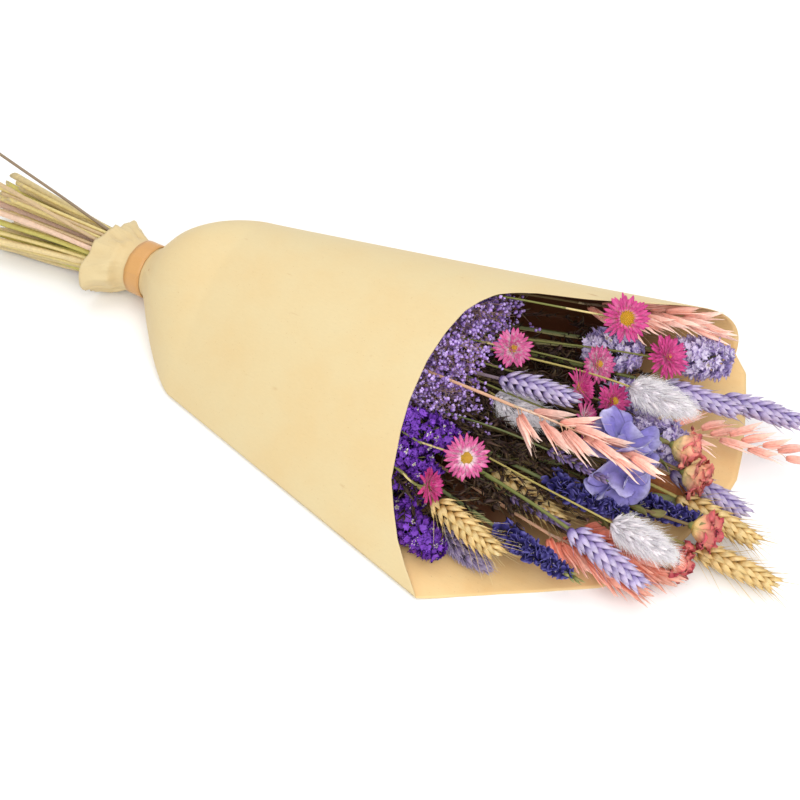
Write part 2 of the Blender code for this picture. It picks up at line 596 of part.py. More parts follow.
def build_open_flower(name, kind, stem, head):
    """A stem that bends up into a flower seen open: a cup of bracts, a wide rim and a raised middle."""
    centre = head[0]
    facing = np.array(kind.faces) / np.linalg.norm(kind.faces)
    rings = stem_rings(stem, kind.stem_r)[:-1]
    base = centre - facing * kind.head_r * FLOWER_FOOT
    arrive = (stem[-1] + base) / 2
    rings.append(ring_of(arrive, base - stem[-2], kind.stem_r, STEM_SIDES))
    rings.append(ring_of(base, facing + (base - arrive) * 20, kind.stem_r, STEM_SIDES))
    # (height over the base, radius) in head radii
    cup = [(0.16, 0.34), (0.44, 0.60), (0.70, 0.90), (0.84, 0.93), (0.80, 0.55), (0.92, 0.34), (1.00, 0.16)]
    for height, radius in cup:
        rings.append(ring_of(base + facing * kind.head_r * height, facing, kind.head_r * radius, HEAD_SIDES))
    return loft(name, rings, kind.colour, 0.8)


def build_plants():
    bundle = Bundle(PLANTS)
    bundle.settle()
    for row, plant in enumerate(PLANTS):
        kind = KINDS[plant.kind]
        stem, head = bundle.path(row)
        build = build_open_flower if is_open_flower(kind) else build_spike
        build(plant.name, kind, stem, head)


def centre_on_origin():
    """Moves every mesh so that the origin is the middle of the whole bouquet's base."""
    corners = np.array([v.co for o in bpy.data.objects if o.type == "MESH" for v in o.data.vertices])
    low, high = corners.min(axis=0), corners.max(axis=0)
    shift = np.array([(low[0] + high[0]) / 2, (low[1] + high[1]) / 2, low[2]])
    print("origin moved by", [round(float(v), 5) for v in shift])
    for solid in bpy.data.objects:
        if solid.type != "MESH":
            continue
        for vertex in solid.data.vertices:
            vertex.co = [vertex.co[c] - shift[c] for c in range(3)]
        solid.data.update()


def main():
    for old in list(bpy.data.objects):
        bpy.data.objects.remove(old)
    build_sleeve()
    build_band()
    build_tie()
    build_plants()
    centre_on_origin()


main()
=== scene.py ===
"""Looks of a dried flower bouquet in a kraft paper sleeve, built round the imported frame.

Every surface here is worked out with numpy, on a grid of two parameters or as a profile carried along a path.
Each plant follows the middle of its own solid in the frame, so it grows where the construction put it.
"""

import logging
import math
import zlib
from dataclasses import dataclass, field
from enum import Enum, IntEnum
from typing import Any, Optional, Sequence, Union

import bpy
import numpy as np
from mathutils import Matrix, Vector


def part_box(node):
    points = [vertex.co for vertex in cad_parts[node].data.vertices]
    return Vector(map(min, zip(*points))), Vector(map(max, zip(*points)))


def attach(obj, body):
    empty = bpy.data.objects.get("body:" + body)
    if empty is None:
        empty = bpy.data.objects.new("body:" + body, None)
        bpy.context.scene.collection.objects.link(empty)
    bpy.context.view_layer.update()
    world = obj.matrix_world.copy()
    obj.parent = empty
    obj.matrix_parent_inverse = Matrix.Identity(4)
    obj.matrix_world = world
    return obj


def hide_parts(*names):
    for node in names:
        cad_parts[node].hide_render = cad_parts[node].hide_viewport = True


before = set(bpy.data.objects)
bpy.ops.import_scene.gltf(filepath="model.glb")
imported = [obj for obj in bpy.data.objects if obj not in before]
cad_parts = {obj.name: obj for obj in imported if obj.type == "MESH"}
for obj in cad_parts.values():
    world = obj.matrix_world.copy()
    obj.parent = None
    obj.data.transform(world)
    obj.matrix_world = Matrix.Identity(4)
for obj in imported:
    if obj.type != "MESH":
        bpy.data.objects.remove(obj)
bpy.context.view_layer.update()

LOG = logging.getLogger("bouquet")
Array = np.ndarray
Colour = tuple[float, float, float, float]
Stops = tuple[tuple[float, Colour], ...]

# Painted shade on the inside face of the paper: within these ranges its colour is darkened towards deep
# brown, where shade falls far inside the mouth.
SHADE_FROM = (0.130, 0.225)  # along X: the inside is dark up to the first, and pale past the second
SHADE_SIDE = (-0.105, -0.065)  # along Y: pale below the first, dark past the second
SHADE_TAIL = (-0.16, -0.10)  # along X again, at the flared tail: pale below the first, dark past the second
NO_CORNER = -1  # fills the fourth place of a triangle in a table of faces
GOLDEN_TURN = math.pi * (3 - math.sqrt(5))
MM = 0.001
SEEDS = 1000  # how many kinds of crumple there are to draw from
UP = np.array([0.0, 0.0, 1.0])


def paint(red: int, green: int, blue: int) -> Colour:
    """Turns a display colour, 0 to 255, into the linear colour that shaders take."""
    shares = np.array([red, green, blue]) / 255
    linear = np.where(shares <= 0.04045, shares / 12.92, ((shares + 0.055) / 1.055) ** 2.4)
    return (float(linear[0]), float(linear[1]), float(linear[2]), 1.0)


# ---------------------------------------------------------------- shader expressions
class Value:
    """A shader socket that Python's arithmetic works on: each sign adds a Math node."""

    def __init__(self, graph: "Graph", socket: bpy.types.NodeSocket) -> None:
        """Keeps the graph that the socket belongs to."""
        self.graph = graph
        self.socket = socket

    def _math(self, operation: str, first: "Number", second: "Number") -> "Value":
        """Adds one Math node."""
        return self.graph.node("ShaderNodeMath", {"operation": operation}, {0: first, 1: second})

    def __add__(self, other: "Number") -> "Value":
        """self + other."""
        return self._math("ADD", self, other)

    def __radd__(self, other: "Number") -> "Value":
        """other + self."""
        return self._math("ADD", other, self)

    def __sub__(self, other: "Number") -> "Value":
        """self - other."""
        return self._math("SUBTRACT", self, other)

    def __rsub__(self, other: "Number") -> "Value":
        """other - self."""
        return self._math("SUBTRACT", other, self)

    def __mul__(self, other: "Number") -> "Value":
        """self * other."""
        return self._math("MULTIPLY", self, other)

    def __rmul__(self, other: "Number") -> "Value":
        """other * self."""
        return self._math("MULTIPLY", other, self)

    def __truediv__(self, other: "Number") -> "Value":
        """self / other."""
        return self._math("DIVIDE", self, other)

    def __pow__(self, other: "Number") -> "Value":
        """self to the power of other."""
        return self._math("POWER", self, other)

    def __gt__(self, other: "Number") -> "Value":
        """1 where self is over other, else 0."""
        return self._math("GREATER_THAN", self, other)


Number = Union[float, Value]


class Graph:
    """A material's node tree, with one method that makes any node."""

    def __init__(self, name: str) -> None:
        """Starts a material with its Principled shader."""
        self.material = bpy.data.materials.new(name)
        self.material.use_nodes = True
        self.tree = self.material.node_tree
        self.shader = self.tree.nodes["Principled BSDF"]

    def node(self, kind: str, settings: Optional[dict[str, Any]] = None,
             inputs: Optional[dict[Union[str, int], Any]] = None, output: Union[str, int] = 0) -> Value:
        """Makes one node.

        Args:
            kind: the node's type.
            settings: its own settings, with a ramp's stops under "stops".
            inputs: a number, colour or Value for each socket, by name or place.
            output: which output to return.

        Returns:
            The output as a Value.
        """
        made = self.tree.nodes.new(kind)
        for key, setting in (settings or {}).items():
            if key == "stops":
                self._set_stops(made, setting)
            else:
                setattr(made, key, setting)
        for key, source in (inputs or {}).items():
            if isinstance(source, Value):
                self.tree.links.new(source.socket, made.inputs[key])
            else:
                made.inputs[key].default_value = source
        return Value(self, made.outputs[output])

    @staticmethod
    def _set_stops(made: bpy.types.Node, stops: Stops) -> None:
        """Puts the stops on a ramp that starts with two."""
        elements = made.color_ramp.elements
        for _ in stops[2:]:
            elements.new(1.0)
        for element, (place, colour) in zip(elements, stops):
            element.position = place
            element.color = colour

    def place(self) -> Value:
        """Object coordinates."""
        return self.node("ShaderNodeTexCoord", output="Object")

    def along(self) -> tuple[Value, Value]:
        """The piece's own map: across or round, and along."""
        split = self.node("ShaderNodeSeparateXYZ", inputs={0: self.node("ShaderNodeUVMap")})
        other = Value(self, split.socket.node.outputs["Y"])
        return split, other

    def tone(self) -> Value:
        """The number that varies from copy to copy."""
        return self.node("ShaderNodeAttribute", {"attribute_name": "tone"}, output="Fac")

    def vector(self, x: Number, y: Number, z: Number = 0.0) -> Value:
        """Three numbers as one vector."""
        return self.node("ShaderNodeCombineXYZ", inputs={0: x, 1: y, 2: z})

    def noise(self, where: Value, scale: float, detail: float = 3.0, rough: float = 0.55) -> Value:
        """Smooth noise round 0.5."""
        sockets = {"Vector": where, "Scale": scale, "Detail": detail, "Roughness": rough}
        return self.node("ShaderNodeTexNoise", inputs=sockets)

    def ramp(self, share: Value, stops: Stops) -> Value:
        """A colour that runs through the stops."""
        return self.node("ShaderNodeValToRGB", {"stops": stops}, {0: share})

    def step(self, share: Value, low: float, high: float) -> Value:
        """Rises from 0 at low to 1 at high."""
        sockets = {"Value": share, "From Min": low, "From Max": high}
        return self.node("ShaderNodeMapRange", {"interpolation_type": "SMOOTHSTEP"}, sockets)

    def mix(self, share: Number, first: Any, second: Any, blend: str = "MIX") -> Value:
        """Mixes two colours."""
        settings = {"data_type": "RGBA", "blend_type": blend}
        return self.node("ShaderNodeMix", settings, {0: share, 6: first, 7: second}, output=2)

    def bright(self, colour: Value, amount: Number) -> Value:
        """The colour made lighter or darker by a factor."""
        return self.node("ShaderNodeHueSaturation", inputs={"Value": amount, "Color": colour})

    def bump(self, height: Value, strength: float, distance: float) -> Value:
        """Relief of that height."""
        return self.node("ShaderNodeBump", inputs={"Height": height, "Strength": strength,
                                                   "Distance": distance})

    def parts(self, vector: Value) -> list[Value]:
        """The three coordinates of a vector."""
        node = self.node("ShaderNodeSeparateXYZ", inputs={"Vector": vector}, output="X").socket.node
        return [Value(self, output) for output in node.outputs]

    def dress(self, colour: Value, rough: Number, relief: Value, through: float = 0.0,
              **fixed: float) -> bpy.types.Material:
        """Joins the finished expressions to the shader, and sets the sockets that are the same all over.

        Args:
            colour: the base colour.
            rough: the roughness.
            relief: the bumped normal.
            through: the share of light that passes through, as through a petal.
            fixed: sockets of the Principled shader, with _ for each space.
        """
        self.tree.links.new(colour.socket, self.shader.inputs["Base Color"])
        self.tree.links.new(relief.socket, self.shader.inputs["Normal"])
        if isinstance(rough, Value):
            self.tree.links.new(rough.socket, self.shader.inputs["Roughness"])
        else:
            self.shader.inputs["Roughness"].default_value = rough
        for name, number in fixed.items():
            self.shader.inputs[name.replace("_", " ").title()].default_value = number
        if through > 0:
            light = self.node("ShaderNodeBsdfTranslucent", inputs={"Color": colour, "Normal": relief})
            body = Value(self, self.shader.outputs["BSDF"])
            both = self.node("ShaderNodeMixShader", inputs={0: through, 1: body, 2: light})
            self.tree.links.new(both.socket, self.tree.nodes["Material Output"].inputs["Surface"])
        return self.material


# ---------------------------------------------------------------- finishes
@dataclass(frozen=True)
class DriedFinish:
    """Dry petals, husks and stalks: colours along the piece, streaks down it, a tone for each copy."""

    name: str
    stops: Stops
    faded: Colour = paint(190, 160, 120)
    fading: float = 0.25
    streaks: float = 0.25
    streak_count: float = 9.0
    mottle: float = 0.25
    mottle_scale: float = 420.0
    roughness: float = 0.62
    relief: float = 0.35
    sheen: float = 0.0
    through: float = 0.28
    # glow is painted light: the piece also emits its own colour, so fur, husks and petals shine though they
    # are no lamp; on fur it stands for the light passed between strands.
    glow: float = 0.0  # stands for the light that soft hair passes from one strand to the next

    def build(self) -> bpy.types.Material:
        """Streaks are noise stretched along the piece, mottling is noise in space."""
        graph = Graph(self.name)
        across, along = graph.along()
        tone = graph.tone()
        where = graph.place()
        streak = graph.noise(graph.vector(across * self.streak_count, along * 1.6, tone * 9.0), 1.0, 2.0)
        mottle = graph.noise(where, self.mottle_scale, 3.0)
        patch = graph.noise(where, self.mottle_scale * 0.16, 2.0)
        shifted = along + (mottle - 0.5) * 0.22
        colour = graph.mix(graph.step(tone + patch - 0.5, 0.3, 1.1) * self.fading,
                           graph.ramp(shifted, self.stops), self.faded)
        light = 1.0 + (streak - 0.5) * (2 * self.streaks) + (mottle - 0.5) * (2 * self.mottle)
        light = light + (tone - 0.5) * 0.30
        height = streak * 0.7 + mottle * 0.3
        rough = self.roughness + (mottle - 0.5) * 0.25
        relief = graph.bump(height, self.relief, 0.25 * MM)
        lit = graph.bright(colour, light)
        # Painted light: the colour is also emitted, which brightens the piece where hairs and petals shade
        # each other.
        if self.glow > 0:
            graph.tree.links.new(lit.socket, graph.shader.inputs["Emission Color"])
        return graph.dress(lit, rough, relief, self.through, sheen_weight=self.sheen,
                           emission_strength=self.glow)


@dataclass(frozen=True)
class PaperFinish:
    """Kraft paper: long pale fibres, a few dark specks, a cloudy tone and darker lines where folds bend
    sharply.
    """

    name: str
    face: Colour
    dark: Colour
    speck: Colour
    roughness: float = 0.62
    cloud: float = 0.10
    fold_darkening: float = 0.5
    # painted_shade: the colour that the inside face is darkened to far inside the mouth, painted shade.
    painted_shade: Optional[Colour] = None  # what the sheet darkens to far inside the mouth

    def build(self) -> bpy.types.Material:
        """Fibres are noise stretched across the sheet, specks are the rare cells of a Voronoi pattern."""
        graph = Graph(self.name)
        where = graph.place()
        tone = graph.tone()
        cloud = graph.noise(where, 16.0, 4.0, 0.6)
        stretched = graph.node("ShaderNodeMapping", {"vector_type": "POINT"},
                               {"Vector": where, "Scale": (240.0, 900.0, 900.0), "Rotation": (0.0, 0.0, 0.4)})
        fibre = graph.noise(stretched, 1.0, 4.0, 0.65)
        cells = graph.node("ShaderNodeTexVoronoi", {"feature": "F1"},
                           {"Vector": stretched, "Scale": 0.11, "Randomness": 1.0}, output="Distance")
        rare = graph.noise(where, 85.0, 0.0)
        speck = (1.0 - graph.step(cells, 0.05, 0.16)) * graph.step(rare, 0.57, 0.66)
        tiny = graph.step(graph.noise(where, 950.0, 1.0), 0.70, 0.80)
        colour = graph.mix(graph.step(cloud, 0.25, 0.80), self.face, self.dark)
        colour = graph.mix(speck * 0.6, colour, self.speck)
        colour = graph.mix(tiny * 0.35, colour, self.speck)
        # Painted shade: far inside the mouth the sheet's colour is mixed towards the dark shade colour.
        if self.painted_shade:
            x, y, _ = graph.parts(where)
            shade_share = (1.0 - graph.step(x, *SHADE_FROM)) * graph.step(y, *SHADE_SIDE)
            shade_share = shade_share * graph.step(x, *SHADE_TAIL)
            colour = graph.mix(shade_share, colour, self.painted_shade)
        light = 1.0 + (fibre - 0.5) * 0.10 + (cloud - 0.5) * self.cloud
        # Darker where the folds bend sharply: on the sleeve the tone is how sharply the paper bends.
        light = light - tone * (self.fold_darkening * 0.22)
        height = fibre * 0.6 + cloud * 1.5 + tone * 0.5
        rough = self.roughness + (fibre - 0.5) * 0.18
        return graph.dress(graph.bright(colour, light), rough, graph.bump(height, 0.22, 0.4 * MM),
                           sheen_weight=0.05)


@dataclass(frozen=True)
class TwineFinish:
    """Jute twine: strands that wind round the cord, with loose pale fibres."""

    name: str
    light: Colour
    dark: Colour

    def build(self) -> bpy.types.Material:
        """The strands are a wave that runs slantwise over the piece's own map."""
        graph = Graph(self.name)
        across, along = graph.along()
        strands = graph.node("ShaderNodeTexWave", {"bands_direction": "X"},
                             {"Vector": graph.vector(along * 60.0 + across * 3.0, 0.0), "Scale": 1.0,
                              "Distortion": 0.8})
        fuzz = graph.noise(graph.place(), 1500.0, 3.0)
        colour = graph.mix(strands * 0.7 + fuzz * 0.3, self.dark, self.light)
        return graph.dress(colour, 0.9, graph.bump(strands + fuzz * 0.4, 0.6, 0.3 * MM), sheen_weight=0.2)


@dataclass(frozen=True)
class FloorFinish:
    """The plain pale surface under the bouquet."""

    name: str = "floor_white"

    def build(self) -> bpy.types.Material:
        """White with a very faint cloudiness."""
        graph = Graph(self.name)
        cloud = graph.noise(graph.place(), 6.0, 3.0)
        colour = graph.mix(cloud, (0.90, 0.90, 0.90, 1.0), (0.93, 0.93, 0.93, 1.0))
        return graph.dress(colour, 0.75, graph.bump(cloud, 0.02, MM))


# ---------------------------------------------------------------- arrays
def unit(vectors: Array) -> Array:
    """The vectors, each divided by its length."""
    return vectors / np.maximum(np.linalg.norm(vectors, axis=-1, keepdims=True), 1e-12)


def ripple(points: Array, scale: float, seed: int) -> Array:
    """A smooth random number from -1 to 1 at each point: the mean of five sine waves in random directions."""
    rng = np.random.default_rng(seed)
    ways = rng.normal(size=(5, 3)) * scale
    phases = rng.uniform(0, 2 * math.pi, 5)
    return np.sin(points @ ways.T + phases).mean(axis=-1) * 1.4


def facing(directions: Array, spin: Array) -> Array:
    """Rotations whose third column is each direction, turned about it by its spin.

    Args:
        directions: (k, 3).
        spin: (k,) in radians.

    Returns:
        (k, 3, 3).
    """
    third = unit(directions)
    helper = np.where(np.abs(third[:, 2:3]) < 0.9, UP, np.array([1.0, 0.0, 0.0]))
    first = unit(np.cross(helper, third))
    second = np.cross(third, first)
    c, s = np.cos(spin)[:, None], np.sin(spin)[:, None]
    return np.stack([first * c + second * s, second * c - first * s, third], axis=-1)


@dataclass
class Shape:
    """A surface as arrays: points (n, 3), faces (m, 4), uv (n, 2), tone (n,) and the finish's number (m,)."""

    points: Array
    faces: Array
    uv: Array
    tone: Array
    look: Array

    @staticmethod
    def joined(shapes: Sequence["Shape"]) -> "Shape":
        """Puts several shapes into one table."""
        starts = np.cumsum([0] + [len(s.points) for s in shapes[:-1]])
        faces = [np.where(s.faces >= 0, s.faces + start, NO_CORNER) for s, start in zip(shapes, starts)]
        return Shape(np.concatenate([s.points for s in shapes]), np.concatenate(faces),
                     np.concatenate([s.uv for s in shapes]), np.concatenate([s.tone for s in shapes]),
                     np.concatenate([s.look for s in shapes]))

    def copies(self, turns: Array, places: Array, tones: Array) -> "Shape":
        """Repeats the shape, each copy turned and scaled by (k, 3, 3), moved by (k, 3) and toned by (k,)."""
        count, size = len(places), len(self.points)
        points = np.einsum("kij,nj->kni", turns, self.points) + places[:, None]
        starts = (np.arange(count) * size)[:, None, None]
        faces = np.where(self.faces >= 0, self.faces + starts, NO_CORNER)
        tone = np.repeat(tones, size) + np.tile(self.tone, count)
        return Shape(points.reshape(-1, 3), faces.reshape(-1, 4), np.tile(self.uv, (count, 1)), tone,
                     np.tile(self.look, count))

    def crumpled(self, amount: float, scale: float, seed: int, tipwards: float = 0.0) -> "Shape":
        """Moves the points by smooth noise, as dry petals crinkle; tipwards over 0 leaves their feet."""
        shift = np.stack([ripple(self.points, scale, seed + axis) for axis in range(3)], axis=-1)
        self.points = self.points + shift * amount * self.uv[:, 1:2] ** tipwards
        return self


def closed_faces(rows: int, sides: int) -> Array:
    """Faces of a closed surface: a fan at each pole and a band of quads between every two rings."""
    here = np.arange(sides)
    after = (here + 1) % sides
    start = np.arange(rows - 1)[:, None] * sides + 1
    band = np.stack([start + here, start + after, start + sides + after, start + sides + here], axis=-1)
    none = np.full(sides, NO_CORNER)
    last = 1 + (rows - 1) * sides
    first_fan = np.stack([np.zeros(sides, int), 1 + after, 1 + here, none], axis=1)
    last_fan = np.stack([np.full(sides, last + sides), last + here, last + after, none], axis=1)
    return np.concatenate([first_fan, band.reshape(-1, 4), last_fan])


def from_rings(rings: Array, look: int = 0, tone: Optional[Array] = None,
               poles: Optional[tuple[Array, Array]] = None) -> Shape:
    """Closed shapes through rings of points.

    Args:
        rings: (k, rows, sides, 3), each ring anticlockwise seen from its far side.
        look: the finish's number.
        tone: (k,), 0.5 for each if left out.
        poles: the points that close the two ends, (k, 3) each; the middles of the end rings if left out.

    Returns:
        All k shapes in one table.
    """
    count, rows, sides, _ = rings.shape
    first, last = poles if poles is not None else (rings[:, 0].mean(axis=1), rings[:, -1].mean(axis=1))
    points = np.concatenate([first[:, None], rings.reshape(count, rows * sides, 3), last[:, None]], axis=1)
    size = rows * sides + 2
    faces = closed_faces(rows, sides) + 0
    faces = np.where(faces >= 0, faces + (np.arange(count) * size)[:, None, None], NO_CORNER).reshape(-1, 4)
    around = np.abs(2 * np.arange(sides) / sides - 1)
    along = np.linspace(0, 1, rows)
    grid = np.stack([np.tile(around, rows), np.repeat(along, sides)], axis=1)
    uv = np.concatenate([[[0.5, 0.0]], grid, [[0.5, 1.0]]])
    tones = np.full(count, 0.5) if tone is None else tone
    return Shape(points.reshape(-1, 3), faces, np.tile(uv, (count, 1)), np.repeat(tones, size),
                 np.full(len(faces), look))


def loft(paths: Array, across: Array, wide: Array, thick: Array, sides: int = 6, cup: Any = 0.0,
         look: int = 0,
         tone: Optional[Array] = None, along: Optional[Array] = None) -> Shape:
    """Carries an oval along each path: petals, husks, leaves, stalks and hairs.

    A point of the ring is the path's point, plus wide times the cosine across, plus thick times the sine
    upwards, plus cup times the squared cosine upwards, which lifts both edges.

    Args:
        paths: (k, rows, 3).
        across: (k, rows or 1, 3), roughly square to the path.
        wide: half width, (k or 1, rows).
        thick: half thickness, (k or 1, rows).
        sides: points in the oval.
        cup: how far the edges lift, a number or (k or 1, rows).
        look: the finish's number.
        tone: (k,).
        along: the path's direction where it can't be worked out from the points.
    """
    count, rows, _ = paths.shape
    way = unit(np.gradient(paths, axis=1)) if along is None else along
    up = unit(np.cross(way, np.broadcast_to(across, paths.shape)))
    side = np.cross(up, way)
    angle = 2 * math.pi * np.arange(sides) / sides
    cosine, sine = np.cos(angle)[:, None], np.sin(angle)[:, None]
    spread, depth, lift = (np.broadcast_to(v, (count, rows))[..., None, None] for v in (wide, thick, cup))
    rings = paths[:, :, None] + spread * cosine * side[:, :, None]
    rings = rings + (depth * sine + lift * cosine**2) * up[:, :, None]
    return from_rings(rings, look, tone)


def shells(angle: Array, spread: Array, radius: Array, height: Array, thick: float, sides: int = 14,
           look: int = 0, tone: Optional[Array] = None) -> Shape:
    """Petals that wrap round +Z. Each ring runs across the outside of its petal and back along the inside.

    Args:
        angle: (k,) where each petal's middle is.
        spread: (rows,) half the angle that each row spans.
        radius: (rows,) from the axis.
        height: (rows,).
        thick: half the petal's thickness.
        sides: points in a ring.
        look: the finish's number.
        tone: (k,).
    """
    turn = 2 * math.pi * np.arange(sides) / sides
    azimuth = angle[:, None, None] + spread[:, None] * np.cos(turn)
    reach = radius[:, None] - thick * np.sin(turn)
    level = np.broadcast_to(height[:, None], azimuth.shape)
    return from_rings(np.stack([reach * np.cos(azimuth), reach * np.sin(azimuth), level], axis=-1), look,
                      tone)


def tubes(paths: Array, radius: Array, sides: int = 4, look: int = 0, tone: Optional[Array] = None) -> Shape:
    """Round stalks, awns and hairs along (k, rows, 3) paths, with radius (k or 1, rows)."""
    way = unit(paths[:, -1] - paths[:, 0])
    helper = np.where(np.abs(way[:, 2:3]) < 0.9, UP, np.array([0.0, 1.0, 0.0]))
    return loft(paths, unit(np.cross(helper, way))[:, None], radius, radius, sides, 0.0, look, tone)


def turned(profile: Array, sides: int, look: int = 0, lobes: int = 0, ruffle: float = 0.0) -> Shape:
    """A closed shape turned round +Z from (radius, height) pairs; the first and last pair are its poles.

    With lobes, the radius swells and shrinks by ruffle that many times round, more towards the rim.
    """
    angle = 2 * math.pi * np.arange(sides) / sides
    radius, height = profile[1:-1, 0:1], profile[1:-1, 1:2]
    share = radius / profile[:, 0].max()
    wave = 1 + ruffle * share * np.cos(lobes * angle)
    lifted = height + ruffle * share * radius * 0.5 * np.sin(lobes * angle + 1.0)
    rings = np.stack([radius * wave * np.cos(angle), radius * wave * np.sin(angle), lifted], axis=-1)[None]
    ends = tuple(np.array([[0.0, 0.0, float(profile[i, 1])]]) for i in (0, -1))
    return from_rings(rings, look, None, ends)


class PetalForm(Enum):
    """How a petal's width runs along it: (how far out it is widest, how full it is)."""

    POINTED = (0.85, 0.85)
    LANCE = (0.75, 1.0)
    ROUND = (1.7, 0.55)
    HUSK = (0.65, 0.75)
    GRAIN = (0.62, 0.95)
    RAY = (1.25, 0.60)

    def widths(self, rows: int) -> Array:
        """The sine of pi times the share along, bent by the first number, to the power of the second."""
        share = np.linspace(0.06, 0.985, rows)
        return np.sin(math.pi * share ** self.value[0]) ** self.value[1]


@dataclass(frozen=True)
class Whorl:
    """A ring of petals round +Z."""

    count: int
    inner: float
    outer: float
    wide: float
    steep: float  # how steeply a petal leaves the middle, in radians
    curl: float  # how much steeper it is at its tip
    form: PetalForm = PetalForm.POINTED
    thick: float = 0.10 * MM
    cup: float = 0.0  # as a share of the width
    rows: int = 6
    sides: int = 6
    unruly: float = 0.12

    def build(self, rng: np.random.Generator, look: int = 2) -> Shape:
        """Each petal's path climbs at an angle that runs from steep to steep plus curl."""
        offset = rng.uniform(0, 2 * math.pi)
        turn = 2 * math.pi * np.arange(self.count) / self.count + offset
        turn = (turn + rng.normal(0, self.unruly * 0.8 / self.count * 6, self.count))[:, None]
        steep = self.steep + rng.normal(0, self.unruly, (self.count, 1))
        angle = steep + self.curl * np.linspace(0, 1,
                                                self.rows) + rng.normal(0, self.unruly * 0.5, (self.count, 1))
        uneven = rng.uniform(1 - self.unruly, 1.0, (self.count, 1))
        step = (self.outer - self.inner) * uneven / (self.rows - 1)
        flat = self.inner + np.cumsum(np.cos(angle), axis=1) * step - np.cos(angle[:, :1]) * step
        rise = np.cumsum(np.sin(angle), axis=1) * step - np.sin(angle[:, :1]) * step
        paths = np.stack([flat * np.cos(turn), flat * np.sin(turn), rise], axis=-1)
        across = np.stack([-np.sin(turn), np.cos(turn), np.zeros_like(turn)], axis=-1)
        wide = self.wide * self.form.widths(self.rows)[None] * rng.uniform(0.85, 1.1, (self.count, 1))
        tone = rng.uniform(0, 1, self.count) * 0.6
        return loft(paths, across, wide, np.full((1, self.rows), self.thick), self.sides, wide * self.cup,
                    look, tone)


def add_piece(name: str, shape: Shape, finishes: Sequence[Any],
              nodes: Sequence[str]) -> bpy.types.Object:
    """Puts a shape into a mesh object that rides the frame and stands for its nodes."""
    used = shape.faces >= 0
    corners = shape.faces[used]
    starts = np.concatenate([[0], np.cumsum(used.sum(axis=1))[:-1]])
    mesh = bpy.data.meshes.new(name)
    mesh.vertices.add(len(shape.points))
    mesh.vertices.foreach_set("co", shape.points.ravel())
    mesh.loops.add(len(corners))
    mesh.loops.foreach_set("vertex_index", corners)
    mesh.polygons.add(len(starts))
    mesh.polygons.foreach_set("loop_start", starts)
    mesh.polygons.foreach_set("material_index", shape.look)
    mesh.update(calc_edges=True)
    mesh.uv_layers.new(name="UVMap").data.foreach_set("uv", shape.uv[corners].ravel())
    mesh.attributes.new("tone", "FLOAT", "POINT").data.foreach_set("value", shape.tone)
    mesh.polygons.foreach_set("use_smooth", np.ones(len(starts), bool))
    mesh.validate()
    for finish in finishes:
        mesh.materials.append(Wardrobe.material(finish))
    piece = bpy.data.objects.new(name, mesh)
    bpy.context.scene.collection.objects.link(piece)
    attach(piece, "root")
    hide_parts(*nodes)
    LOG.info("%s: %d faces, stands for %s", name, len(starts), ", ".join(nodes))
    return piece


class Wardrobe:
    """Builds each finish once."""

    made: dict[str, bpy.types.Material] = {}

    @classmethod
    def material(cls, finish: Any) -> bpy.types.Material:
        """The finish's material."""
        if finish.name not in cls.made:
            cls.made[finish.name] = finish.build()
        return cls.made[finish.name]


# ---------------------------------------------------------------- lines and plants
SMOOTHING = 6
FLOOR_GAP = 0.3 * MM
SQUASH = 1.5 * MM
STEM_CORNERS = 4  # a ring of the solid's stem has this many points, its head more


